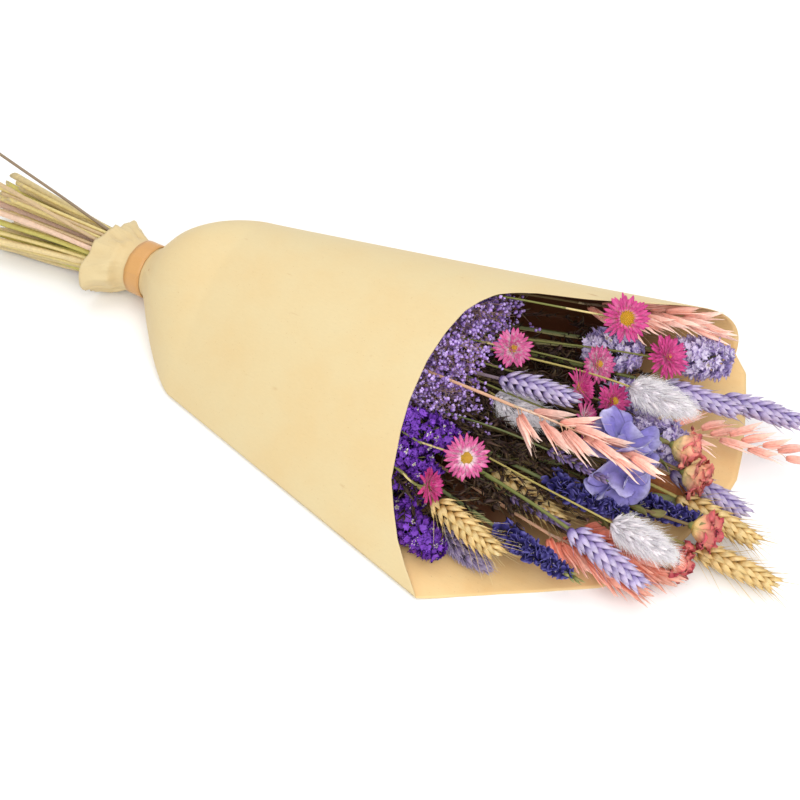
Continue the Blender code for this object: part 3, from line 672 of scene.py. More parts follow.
@dataclass(frozen=True)
class SleeveForm:
    """Sizes of the paper sleeve, the same as the frame's. x is measured from the middle of the band."""

    tail: float = -0.034
    gripped: tuple[float, float] = (-0.0085, 0.0085)
    neck: float = 0.0085
    shoulder: float = 0.072
    neck_r: float = 0.019
    axis_z: float = 0.021
    tail_flare: float = 0.014
    shoulder_half: float = 0.0755
    shoulder_high: float = 0.063
    lifting: float = 2.6
    flare: float = 0.236
    rise: float = 0.080
    edge_z: float = 0.004
    flat_below: float = 1.25
    wall: float = 0.45 * MM
    top_edge: tuple[tuple[float, float], ...] = (
        (0.00, 0.289), (0.03, 0.276), (0.06, 0.2655), (0.10, 0.2565), (0.15, 0.247), (0.19, 0.244),
        (0.25, 0.2395), (0.32, 0.236), (0.43, 0.234), (0.52, 0.2352), (0.606, 0.238), (0.655, 0.2425),
        (0.70, 0.2485), (0.728, 0.2575),
        (0.752, 0.271), (0.774, 0.2975), (0.80, 0.316), (0.84, 0.3385), (0.905, 0.362), (1.00, 0.386))
    bottom_edge: tuple[tuple[float, float], ...] = (
        (0.00, 0.289), (0.076, 0.3105), (0.139, 0.330), (0.224, 0.359), (0.278, 0.3785), (0.36, 0.400),
        (0.50, 0.412), (0.60, 0.4205), (0.655, 0.422), (0.72, 0.4185), (0.79, 0.413), (0.874, 0.4055),
        (0.95, 0.398), (1.00, 0.386))

    def opened(self, x: Array, quickness: float = 1.3) -> Array:
        """How far the paper has opened, 0 at the neck to 1 at the shoulder: quicker is more at first."""
        share = np.clip((x - self.neck) / (self.shoulder - self.neck), 0, 1)
        return 1 - (1 - share) ** quickness

    def half(self, x: Array) -> Array:
        """Half the width: it widens to the shoulder, then in a straight line."""
        spread = self.neck_r + (self.shoulder_half - self.neck_r) * self.opened(x)
        spread = spread + np.clip(x - self.shoulder, 0, 1) * self.flare
        grip = self.gripped[0]
        return spread + self.tail_flare * np.clip((grip - x) / (grip - self.tail), 0, 1)

    def edge(self, x: Array) -> Array:
        """Height of the two creases."""
        return self.axis_z * (1 - self.opened(x)) + self.edge_z * self.opened(x)

    def top(self, x: Array, share: Array) -> Array:
        """Height of the upper sheet: round at the neck, leaning to the far side on the sleeve."""
        near, far = 0.5 + 0.4 * self.opened(x), 0.5
        peak = (near / (near + far)) ** near * (far / (near + far)) ** far
        high = self.neck_r + (self.shoulder_high - self.neck_r) * self.opened(x, self.lifting)
        high = high + np.clip(x - self.shoulder, 0, 1) * self.rise
        return self.edge(x) + high * share**near * (1 - share) ** far / peak

    def bottom(self, x: Array, share: Array) -> Array:
        """Height of the lower sheet: round at the neck, then flat on the surface."""
        sag = np.clip(4 * share * (1 - share), 0, 1) ** (0.5 - 0.3 * self.opened(x))
        depth = self.neck_r * (1 - self.opened(x)) + self.flat_below * self.edge(x) * self.opened(x)
        return np.maximum(self.edge(x) - depth * sag, 0.0)

    def hold_in(self, points: Array, centre: Array) -> Array:
        """Presses points back between the paper's sheets, and up from the surface that it lies on.

        Args:
            points: (n, 3) in the frame.
            centre: the middle of the neck.
        """
        x, y, z = (points - centre + np.array([0.0, 0.0, self.axis_z])).T
        half = self.half(x)
        wrapped = x > self.tail
        room = half - 1.6 * MM
        y = np.where(wrapped & (x < self.bottom_edge[0][1]), np.maximum(y, -room), y)
        y = np.where(wrapped & (x < self.bottom_edge[-1][1]), np.minimum(y, room), y)
        share = np.clip((y / half + 1) / 2, 0.004, 0.996)
        over, under = (wrapped & (x < np.maximum(np.interp(share, *np.array(edge).T),
                                                 np.interp(share + 0.02, *np.array(edge).T)) + 5 * MM)
                       for edge in (self.top_edge, self.bottom_edge))
        folds = 2.5 * MM * np.exp(-np.clip(np.abs(x) - self.neck, 0, None) / (15 * MM))
        z = np.where(over, np.minimum(z, self.top(x, share) - 1.3 * MM - folds), z)
        low = np.where(under, self.bottom(x, share) + 0.8 * MM + folds, FLOOR_GAP)
        soft = low + (SQUASH - FLOOR_GAP) * np.exp(np.minimum(z - low - SQUASH, 0) / (6 * MM))
        z = np.where(z < low + SQUASH, soft, z)
        return np.stack([x, y, z], axis=-1) + centre - np.array([0.0, 0.0, self.axis_z])


PAPER = SleeveForm()
NECK = np.array(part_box("neck_band")).mean(axis=0)


class Line:
    """A smooth path, with a level side, an upward side and a direction at every place."""

    def __init__(self, points: Array, count: int = 70) -> None:
        """Spaces the points evenly and rounds off the corners."""
        reach = np.concatenate([[0], np.cumsum(np.linalg.norm(np.diff(points, axis=0), axis=1))])
        self.long = float(reach[-1])
        self.reach = np.linspace(0, self.long, count)
        self.points = np.stack([np.interp(self.reach, reach, points[:, c]) for c in range(3)], axis=1)
        for _ in range(SMOOTHING):
            self.points[1:-1] += (self.points[:-2] + self.points[2:] - 2 * self.points[1:-1]) * 0.25
        self.way = unit(np.gradient(self.points, axis=0))

    def at(self, reach: Array) -> tuple[Array, Array]:
        """Places and rotations at distances along the line, which runs on straight past its ends.

        Returns:
            Points (n, 3) and rotations (n, 3, 3) whose columns are side, up and along.
        """
        inside = np.clip(reach, 0, self.long)
        place, way = (np.stack([np.interp(inside, self.reach, table[:, c]) for c in range(3)], axis=-1)
                      for table in (self.points, self.way))
        way = unit(way)
        side = unit(np.cross(UP, way))
        return place + way * (reach - inside)[:, None], np.stack([side, np.cross(way, side), way], axis=-1)

    def bend(self, shape: Shape, start: float) -> Shape:
        """Lays a shape that grows along +Z onto the line, with its foot that far along."""
        place, turn = self.at(shape.points[:, 2] + start)
        flat = shape.points * np.array([1.0, 1.0, 0.0])
        shape.points = place + np.einsum("nij,nj->ni", turn, flat)
        return shape


class Solid:
    """What a plant's node in the frame says: the line through its middle, and where its head sits."""

    def __init__(self, node: str) -> None:
        """Splits the node's points into the rings that it was built from."""
        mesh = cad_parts[node].data
        flat = np.empty(len(mesh.vertices) * 3)
        mesh.vertices.foreach_get("co", flat)
        points = np.unique(flat.reshape(-1, 3).round(5), axis=0)
        rings = np.split(points, np.flatnonzero(np.diff(points[:, 0]) > 1.5 * MM) + 1)
        first = next(i for i, ring in enumerate(rings) if len(ring) > STEM_CORNERS)
        head = np.concatenate(rings[first:])
        self.is_open = len(rings[first]) > 3 * STEM_CORNERS
        self.centre = (head.min(axis=0) + head.max(axis=0)) / 2
        middles = [ring.mean(axis=0) for ring in (rings[:first] if self.is_open else rings)]
        stem = np.array(middles[:first])
        self.base = float(np.linalg.norm(np.diff(stem, axis=0), axis=1).sum())
        self.line = Line(np.array(middles))
        self.base = min(self.base, self.line.long)
        self.head_long = self.line.long - self.base


MOUTH = (0.01, 0.16)  # where along X the brushwood grows
LITTER_TOP = 30 * MM


class Look(IntEnum):
    """Places in a plant's list of finishes."""

    STALK = 0
    HUSK = 1
    PETAL = 2
    HEART = 3
    SHADE_FILLER = 4


def spiral(count: int, turn: float = GOLDEN_TURN) -> Array:
    """Angles that turn by the same step each time."""
    return np.arange(count) * turn


def round_z(angle: Array, radius: Array, height: Array) -> Array:
    """Points at those angles round +Z."""
    return np.stack([radius * np.cos(angle), radius * np.sin(angle), height], axis=-1)


def outward(angle: Array) -> Array:
    """Unit vectors square to +Z at those angles."""
    return round_z(angle, np.ones(len(angle)), np.zeros(len(angle)))


def leaning(out: Array, lean: Array) -> Array:
    """Unit vectors that lean from +Z towards out, by angles in radians."""
    return np.cos(lean)[:, None] * UP + np.sin(lean)[:, None] * out


def steps(rows: int) -> Array:
    """Shares from 0 to 1 along a path, shaped (1, rows, 1) to spread over many paths."""
    return np.linspace(0, 1, rows)[None, :, None]


def upright(long: float, share: float, radius: float, rows: int, sides: int, look: int) -> Shape:
    """A straight stem up +Z, over a share of the length."""
    height = np.linspace(0, 1, rows) * long * share
    path = np.stack([0 * height, 0 * height, height], axis=-1)[None]
    return tubes(path, np.full((1, rows), radius), sides, look)


@dataclass
class Growth:
    """A dried plant. Its stalk follows the frame's solid; its head grows along +Z and is laid there."""

    name: str
    slot: str
    finishes: tuple[DriedFinish, ...]
    stalk_r: float
    swell: float = 1.9  # how much thicker the stalk is at its cut end
    joints: int = 0
    brush: int = 20  # fine leafy twigs on its stalk
    seed: int = 0
    rng: np.random.Generator = field(init=False, repr=False)
    solid: Solid = field(init=False, repr=False)

    def __post_init__(self) -> None:
        """Seeds the plant by its name and reads its solid."""
        self.rng = np.random.default_rng(zlib.crc32(self.name.encode()) + self.seed)
        self.solid = Solid(self.name)

    def stalk(self, rows: int = 70, sides: int = 10) -> Shape:
        """The stem, cut aslant and hollow at its end, with swollen joints and a slow wobble."""
        line, rng = self.solid.line, self.rng
        reach = np.linspace(0, self.solid.base + 3 * MM, rows)
        path = line.at(reach)[0]
        share = reach / reach[-1]
        for axis in (1, 2):
            phase, pace = rng.uniform(0, 2 * math.pi), rng.uniform(1.5, 3.5)
            path[:, axis] += 0.35 * MM * np.sin(2 * math.pi * pace * share + phase) * np.sin(math.pi * share)
        radius = self.stalk_r * (1 + (self.swell - 1) * np.clip(1 - share * 1.6, 0, 1) - 0.25 * share)
        for joint in range(self.joints):
            place = (joint + rng.uniform(0.25, 0.75)) / self.joints
            radius = radius * (1 + 0.40 * np.exp(-(((share - place) / 0.010) ** 2)))
        way = np.gradient(path, axis=0)
        hollow = path[:1] + unit(way[:1]) * 1.5 * MM
        paths = np.concatenate([hollow, path[:1], path[:1], path])[None]
        widths = np.concatenate([radius[:1] * 0.45, radius[:1] * 0.55, radius[:1] * 0.97, radius])[None]
        along = unit(np.concatenate([way[:1]] * 3 + [way]))[None]
        shape = loft(paths, np.array([[[0.0, 1.0, 0.0]]]), widths, widths, sides, 0.0, Look.STALK, None,
                     along)
        offset = shape.points - path[0]
        slope = rng.uniform(-0.9, 0.9)
        ahead = offset @ along[0, 0]
        slant = np.where(ahead < 2 * MM, (offset[:, 1] + 0.4 * offset[:, 2]) * slope, 0.0)
        shape.points = shape.points + slant[:, None] * along[0, 0]
        return shape

    def extras(self) -> list[Shape]:
        """Leaves and the like on the stalk."""
        return []

    def leaves(self, count: int, long: float, wide: float, first: float, last: float, form: PetalForm,
               look: int = Look.HUSK, lean: float = 0.5) -> Shape:
        """Blades along the stalk between two shares of its length, that lean out and droop back."""
        rng, line = self.rng, self.solid.line
        rows = 8
        reach = self.solid.base * rng.uniform(first, last, count)
        place, turn = line.at(reach)
        angle = rng.uniform(0, 2 * math.pi, count)
        size = long * rng.uniform(0.6, 1.1, count)
        out = np.stack([np.cos(angle), np.sin(angle), np.zeros(count)], axis=-1)
        share = steps(rows)
        bend = lean * rng.uniform(0.5, 1.2, (count, 1, 1))
        local = UP * share * np.cos(bend * share) + out[:, None] * share * np.sin(bend * share)
        paths = place[:, None] + np.einsum("kij,krj->kri", turn, local * size[:, None, None])
        across = np.einsum("kij,kj->ki", turn, np.stack([-np.sin(angle), np.cos(angle), 0 * angle], axis=-1))
        widths = wide * form.widths(rows)[None] * rng.uniform(0.7, 1.1, (count, 1))
        blades = loft(paths, across[:, None], widths, np.full((1, rows), 0.12 * MM), 6, widths * 0.3, look,
                      rng.uniform(0, 1, count))
        return blades.crumpled(0.5 * MM, 220.0, int(rng.integers(SEEDS)))

    def brushwood(self) -> list[Shape]:
        """Near-black twigs with small leaves on the stretch of the stalk inside the paper's mouth: partly
        filler, their dark colour painted shade for the deep shade there.
        """
        rng, line, count = self.rng, self.solid.line, self.brush
        place = line.at(np.linspace(0, self.solid.base, 60))[0]
        first, last = (float(np.interp(x, place[:, 0], np.linspace(0, self.solid.base, 60))) for x in MOUTH)
        if last - first < 15 * MM or count == 0:
            return []
        foot, turn = line.at(rng.uniform(first, last, count))
        angle = rng.uniform(0, 2 * math.pi, count)
        lean = rng.uniform(0.15, 0.6, count)
        t = steps(7)
        out = round_z(angle, np.sin(lean), np.cos(lean))
        size = rng.uniform(16, 38, (count, 1, 1)) * MM
        sway = rng.normal(0, 0.14, (count, 1, 3)) * t**2
        paths = foot[:, None] + np.einsum("kij,krj->kri", turn, (out[:, None] * t + sway) * size)
        height = paths[..., 2]
        paths[..., 2] = np.where(height > LITTER_TOP, LITTER_TOP + 0.15 * (height - LITTER_TOP), height)
        twigs = tubes(paths, np.linspace(0.35, 0.15, 7)[None] * MM, 4, Look.SHADE_FILLER, rng.uniform(0, 1, count))
        each = 9
        twig = np.repeat(np.arange(count), each)
        node = rng.integers(1, 7, count * each)
        root = paths[twig, node] + rng.normal(0, 0.3 * MM, (count * each, 3))
        way = unit(paths[twig, node] - paths[twig, node - 1])
        way = unit(way + rng.normal(0, 0.55, way.shape))
        t = steps(5)
        curl = rng.normal(0, 0.25, (count * each, 1, 3)) * t**2
        blade = root[:, None] + (way[:, None] * t + curl) * rng.uniform(3, 9, (count * each, 1, 1)) * MM
        width = rng.uniform(0.5, 1.7, (count * each, 1)) * MM * PetalForm.LANCE.widths(5)[None]
        across = np.cross(way, rng.normal(0, 1, way.shape))[:, None]
        leaves = loft(blade, across, width, width * 0.15 + 0.05 * MM, 4, width * 0.4, Look.SHADE_FILLER,
                      rng.uniform(0, 1, count * each))
        return [twigs, leaves]

    def head(self) -> Shape:
        """The flower head, ear or spray, growing along +Z from the origin."""
        raise NotImplementedError

    def parts(self) -> list[Shape]:
        """The plant's shapes, in place."""
        return [self.stalk(), *self.extras(), self.solid.line.bend(self.head(), self.solid.base)]

    def build(self) -> bpy.types.Object:
        """Joins the parts, presses what would sink into the surface flat on it, and dresses the piece."""
        shape = Shape.joined([*self.parts(), *self.brushwood()])
        shape.points = PAPER.hold_in(shape.points, NECK)
        spare = (self.finishes[-1],) * (Look.SHADE_FILLER - len(self.finishes))
        return add_piece(f"{self.name}_plant", shape, (*self.finishes, *spare, SHADE_FILLER),
                         [self.name])


@dataclass
class WheatEar(Growth):
    """An ear of wheat: pointed spikelets in two ranks that overlap like a braid, some with a fine awn."""

    awns: int = 26
    awn_long: float = 15 * MM
    joints: int = 3

    def head(self) -> Shape:
        """Spikelets sit left and right by turns, each with a grain above, one below and two outside."""
        rng, long = self.rng, self.solid.head_long
        spikelets, rows = 16, 10
        fans = np.array([-1.15, -0.20, 0.55, 1.25])
        index = np.repeat(np.arange(spikelets), len(fans))
        fan = np.tile(fans, spikelets)
        share = index / spikelets
        count = len(index)
        angle = np.where(index % 2, 0.0, math.pi) + np.where(index % 2, fan, -fan)
        angle = angle + rng.normal(0, 0.05, count)
        full = 0.66 + 0.34 * np.sin(math.pi * np.clip(share * 0.85 + 0.14, 0, 1))
        foot = round_z(angle, np.full(count, 1.3 * MM),
                       long * (0.82 * share) + (np.abs(fan) < 0.5) * 1.2 * MM)
        lean = (0.62 - 0.26 * share) * np.where(np.abs(fan) < 0.6, 1.15,
                                                0.80) * rng.uniform(0.88, 1.12, count)
        out = outward(angle)
        sideways = np.stack([np.sign(np.cos(angle)), 0 * angle, 0 * angle], axis=-1)
        out = unit(out + sideways * 0.9)
        way = leaning(out, lean)
        size = 13.0 * MM * full * rng.uniform(0.92, 1.08, count)
        t = steps(rows)
        paths = foot[:, None] + way[:, None] * t * size[:, None, None]
        lift = outward(angle)
        paths = paths + lift[:, None] * (np.sin(math.pi * t) - 0.25 * t) * (0.7 * MM * full)[:, None, None]
        across = np.cross(way, lift)
        width = (2.5 * MM * full)[:, None] * PetalForm.GRAIN.widths(rows)[None]
        grains = loft(paths, across[:, None], width, width * 0.62, 8, -width * 0.25, Look.PETAL,
                      rng.uniform(0, 1, count))
        tips = paths[:, -1]
        chosen = rng.permutation(count)[: self.awns]
        reach = self.awn_long * rng.uniform(0.3, 1.2, (len(chosen), 1, 1))
        path = tips[chosen][:, None] + way[chosen][:, None] * np.linspace(-0.15, 1, 5)[None, :, None] * reach
        beards = tubes(path, np.linspace(0.22, 0.05, 5)[None] * MM, 3, Look.HUSK,
                       rng.uniform(0, 1, len(chosen)))
        rib = tubes(np.stack([0 * t[0, :, 0], 0 * t[0, :, 0], t[0, :, 0] * long * 0.9], -1)[None],
                    np.full((1, rows), 1.0 * MM), 6, Look.HUSK)
        return Shape.joined([grains, beards, rib])


@dataclass
class OatPanicle(Growth):
    """A panicle of oats: an arching stalk with long forked spikelets that hang to one side."""

    spikelets: int = 12
    spikelet_long: float = 25 * MM
    husk_wide: float = 2.6 * MM
    hang: float = -1.0  # which side most of them hang to
    lean: float = 0.74  # how far they hang off the stalk's line, in radians
    joints: int = 3

    def head(self) -> Shape:
        """Each spikelet is two husks that part at the tip, a floret between them and an awn."""
        rng, long, count = self.rng, self.solid.head_long, self.spikelets
        order = np.arange(count)
        share = order / (count - 1)
        last = long - self.spikelet_long * 0.80
        start = np.stack([0 * share, 2 * MM * np.sin(math.pi * share), last * (0.02 + 0.98 * share)], axis=-1)
        lower = np.where(order % 3 == 2, -0.45, 1.0) * self.hang
        across = lower * (4.5 - 2.5 * share) * rng.uniform(0.6, 1.3, count) * MM
        foot = start + np.stack([across, rng.uniform(-2.0, 3.0, count) * MM, rng.uniform(2, 7, count) * MM],
                                -1)
        t = steps(6)
        bow = np.stack([-across * 0.2, 1.5 * MM + 0 * across, 0 * across],
                       axis=-1)[:, None] * np.sin(math.pi * t)
        twigs = tubes(start[:, None] + (foot - start)[:, None] * t + bow, np.full((1, 6), 0.3 * MM), 4,
                      Look.STALK)
        angle = lower * self.lean * (1 - 0.65 * share) + rng.normal(0, 0.10, count)
        way = unit(np.stack([np.sin(angle), rng.normal(0.05, 0.10, count), np.cos(angle)], axis=-1))
        husks = []
        rows = 10
        s = steps(rows)
        side = unit(np.cross(way, np.array([0.0, 1.0, 0.0]) + rng.normal(0, 0.35, (count, 3))))
        flat = np.cross(side, way)[:, None]
        tone = rng.uniform(0, 1, count)
        for part, size, gape, wide in ((1, 1.0, 0.12, 1.0), (-1, 0.93, 0.12, 1.0), (0.3, 0.75, 0.02, 0.7)):
            reach = (self.spikelet_long * size * rng.uniform(0.84, 1.08, count))[:, None, None]
            spread = 0.7 * MM + gape * reach * s**1.7
            paths = foot[:, None] + way[:, None] * s * reach + side[:, None] * part * spread
            width = wide * self.husk_wide * PetalForm.GRAIN.widths(rows)[None]
            across_husk = unit(flat + side[:, None] * part * 0.8)
            husks.append(loft(paths, across_husk, width, width * 0.22 + 0.08 * MM, 8, width * 0.35,
                              Look.PETAL, tone))
        awn = foot[:, None] + way[:, None] * s[:, ::2] * self.spikelet_long * 1.25
        awn = awn + side[:, None] * 2.5 * MM * s[:, ::2] ** 3
        beards = tubes(awn, np.linspace(0.16, 0.05, 5)[None] * MM, 3, Look.HUSK)
        spine = np.stack([0 * s[0, :, 0], 2 * MM * np.sin(math.pi * s[0, :, 0]), s[0, :, 0] * last],
                         axis=-1)[None]
        rib = tubes(spine, np.linspace(0.9, 0.35, rows)[None] * MM, 6, Look.STALK)
        return Shape.joined([*(husk.crumpled(0.9 * MM, 200.0, 5, 1.0) for husk in husks), twigs, beards, rib])


@dataclass
class SoftHead(Growth):
    """A soft grass head: an egg-shaped core of husks under long fine hairs."""

    radius: float = 9 * MM
    hairs: int = 2200
    hair_long: float = 9 * MM
    husks: int = 120
    lean: float = 0.75  # how far the hairs stand off the core, in radians

    def head(self) -> Shape:
        """Hairs and husks start on the core, leaning outwards and forwards."""
        rng, long = self.rng, self.solid.head_long
        core_long = long - self.hair_long * 0.55

        def roots(count: int) -> tuple[Array, Array, Array]:
            """Feet on the core, the ways that they lean, and their angles round it."""
            share = rng.uniform(0.02, 0.98, count)
            angle = rng.uniform(0, 2 * math.pi, count)
            swell = np.sin(math.pi * share**0.8) ** 0.6
            radius = (self.radius - 0.5 * self.hair_long * math.sin(self.lean)) * swell
            foot = round_z(angle, radius * 0.9, core_long * share)
            lean = self.lean * (1.25 - 1.0 * share) + rng.normal(0, 0.16, count)
            out = outward(angle)
            return foot, leaning(out, lean), angle

        foot, way, _ = roots(self.hairs)
        t = steps(4)
        size = self.hair_long * rng.uniform(0.55, 1.1, (self.hairs, 1, 1))
        sweep = rng.normal(0, 0.12, (self.hairs, 1, 3)) * t**2
        paths = foot[:, None] + (way[:, None] * t + sweep + UP * 0.18 * t**2) * size
        hairs = tubes(paths, np.array([[0.13, 0.11, 0.08, 0.03]]) * MM, 3, Look.HUSK,
                      rng.uniform(0, 1, self.hairs))
        foot, way, angle = roots(self.husks)
        rows = 6
        t = steps(rows)
        paths = foot[:, None] * np.array([0.9, 0.9, 1.0]) + way[:, None] * t * 6.5 * MM
        across = round_z(angle + math.pi / 2, np.ones(self.husks), np.zeros(self.husks))
        width = 1.25 * MM * PetalForm.HUSK.widths(rows)[None]
        husks = loft(paths, across[:, None], width, width * 0.5, 6, 0.0, Look.PETAL,
                     rng.uniform(0, 1, self.husks))
        return Shape.joined([hairs, husks])


@dataclass
class LarkspurSpike(Growth):
    """A spike of larkspur: crinkled florets with a pale eye and a spur behind, and green buds at the tip."""

    florets: int = 46
    floret_r: float = 7.8 * MM

    def floret(self) -> Shape:
        """One floret facing +Z."""
        rng, size = self.rng, self.floret_r
        outer = Whorl(5, 0.5 * MM, size, size * 0.42, 0.40, 0.50, PetalForm.ROUND, rows=8, unruly=0.40,
                      cup=0.40)
        inner = Whorl(3, 0.3 * MM, size * 0.28, size * 0.07, 0.9, 0.1, PetalForm.ROUND, rows=4, unruly=0.3,
                      cup=0.3)
        t = np.linspace(0, 1, 6)
        spur = np.stack([1.2 * MM * t, 1.5 * MM * t**2, -t * 8.5 * MM], axis=-1)[None]
        shape = Shape.joined([outer.build(rng), inner.build(rng, Look.HEART),
                              tubes(spur, np.linspace(0.9, 0.35, 6)[None] * MM, 5, Look.PETAL)])
        return shape.crumpled(0.8 * MM, 420.0, int(rng.integers(SEEDS)))

    def head(self) -> Shape:
        """Florets in a spiral, smaller and steeper towards the tip."""
        rng, long, count = self.rng, self.solid.head_long, self.florets
        share = np.linspace(0.04, 0.86, count)
        angle = spiral(count) + rng.normal(0, 0.2, count)
        lean = 1.15 - 0.55 * share + rng.normal(0, 0.12, count)
        out = outward(angle)
        way = leaning(out, lean)
        place = round_z(angle, (3.4 - 2.0 * share) * MM, long * share)
        size = 1.05 - 0.55 * share**2
        turns = facing(way, rng.uniform(0, 6, count)) * size[:, None, None]
        tones = rng.uniform(0, 1, count)
        kinds = [self.floret() for _ in range(3)]
        petals = [kind.copies(turns[i::3], place[i::3], tones[i::3]) for i, kind in enumerate(kinds)]
        buds = 9
        t = steps(5)
        spot = spiral(buds)
        foot = round_z(spot, np.full(buds, 0.6 * MM), long * np.linspace(0.80, 0.97, buds))
        lean = np.linspace(0.7, 0.1, buds)[:, None]
        way = np.cos(lean) * UP + np.sin(lean) * round_z(spot, np.ones(buds), np.zeros(buds))
        width = np.linspace(1.4, 0.7, buds)[:, None] * MM * PetalForm.HUSK.widths(5)[None]
        pods = loft(foot[:, None] + way[:, None] * t * 5 * MM, UP + 0 * way[:, None], width, width, 6, 0.0,
                    Look.HUSK)
        rib = upright(long, 1.0, 0.8 * MM, 5, 6, Look.STALK)
        return Shape.joined([*petals, pods, rib])

    def extras(self) -> list[Shape]:
        """A few thread-like leaves."""
        return [self.leaves(7, 22 * MM, 0.8 * MM, 0.78, 0.98, PetalForm.LANCE, Look.HUSK, 0.45)]


@dataclass
class Hydrangea(Growth):
    """A dried hydrangea: broad folded sepals, four to a floret, round a domed head."""

    petal: float = 24 * MM
    florets: int = 7

    def head(self) -> Shape:
        """Large florets point over the dome, so that their sepals overlap."""
        rng, long, count = self.rng, self.solid.head_long, self.florets
        share = (np.arange(count) + 0.5) / count
        angle = spiral(count) + 2.2
        lean = 1.35 * np.sqrt(share)
        out = unit(round_z(angle, np.sin(lean), np.cos(lean)) + np.array([-0.35, 0.9, 0.2]))
        turns = facing(out, rng.uniform(0, 6, count)) * rng.uniform(0.8, 1.05, count)[:, None, None]
        centre = np.array([0.0, 0.0, long * 0.50])
        place = centre + round_z(angle, np.sin(lean), np.cos(lean) * 0.6) * 15 * MM + out * 4 * MM
        shapes = []
        for i in range(count):
            whorl = Whorl(4, 0.6 * MM, self.petal, self.petal * 0.55, 0.10, 0.45, PetalForm.ROUND,
                          0.14 * MM, 0.20, 16, 16, 0.35)
            floret = whorl.build(rng).crumpled(4.2 * MM, 130.0, int(rng.integers(SEEDS)), 1.0)
            floret = floret.crumpled(1.3 * MM, 420.0, int(rng.integers(SEEDS)), 1.0)
            eye = Whorl(5, 0.2 * MM, 2.2 * MM, 0.9 * MM, 1.0, 0.1, PetalForm.ROUND, 0.3 * MM,
                        rows=4).build(rng, Look.HEART)
            whole = Shape.joined([floret, eye])
            shapes.append(whole.copies(turns[i:i + 1], place[i:i + 1], rng.uniform(0, 0.5, 1)))
        t = steps(6)
        root = np.array([0, 0, 2 * MM])
        twigs = tubes(root + (place - root)[:, None] * t, np.full((1, 6), 0.6 * MM), 5, Look.STALK)
        return Shape.joined([*shapes, twigs])


@dataclass
class RoseBud(Growth):
    """A small dried rosebud: cupped, crinkled petals that wrap round each other, over five sepals."""

    radius: float = 8.2 * MM

    def head(self) -> Shape:
        """Layers of petals climb a ball from below. The inner ones reach higher, and all rims are crushed."""
        rng, r = self.rng, self.radius
        t = np.linspace(0, 1, 16)
        layers = []
        for count, size, top, wide, curl in ((3, 0.42, 1.30, 1.9, 0.02), (4, 0.60, 1.20, 1.25, 0.14),
                                             (5, 0.78, 1.05, 0.95, 0.30), (5, 0.94, 0.80, 0.75, 0.48),
                                             (4, 1.0, 0.45, 0.70, 0.62)):
            climb = -1.35 + (1.35 + top) * t
            ball = r * size * np.cos(climb) ** 0.75 + r * curl * t**5
            height = r * (0.95 + (1.25 - 0.25 * size) * np.sin(climb)) - r * curl * 0.5 * t**6
            angle = 2 * math.pi * np.arange(count) / count + rng.uniform(0, 6) + rng.normal(0, 0.12, count)
            spread = wide * np.sin(math.pi * (0.14 + 0.66 * t)) ** 0.6
            tone = rng.uniform(0, 0.8, count)
            layer = shells(angle, spread, ball, height, 0.14 * MM, 18, Look.PETAL, tone)
            layers.append(layer.crumpled(3.4 * MM, 520.0, int(rng.integers(SEEDS)), 2.5))
        petals = Shape.joined(layers).crumpled(0.45 * MM, 420.0, int(rng.integers(SEEDS)))
        petals = petals.crumpled(1.1 * MM, 1400.0, int(rng.integers(SEEDS)), 2.0)
        sepals = Whorl(5, 0.8 * MM, 11 * MM, 1.6 * MM, 0.3, 0.9, PetalForm.POINTED,
                       0.2 * MM).build(rng, Look.HUSK)
        sepals = sepals.crumpled(0.8 * MM, 300.0, int(rng.integers(SEEDS)), 1.0)
        hip = turned(np.array([(0, -3), (1.6, -2.6), (2.6, -0.8), (2.8, 0.8), (2.0, 2.0), (0, 2.4)]) * MM,
                     12, Look.HUSK)
        return Shape.joined([petals, sepals, hip])

    def extras(self) -> list[Shape]:
        """Small leaves under the bud."""
        return [self.leaves(4, 15 * MM, 3 * MM, 0.90, 0.98, PetalForm.LANCE, Look.HUSK, 0.6)]


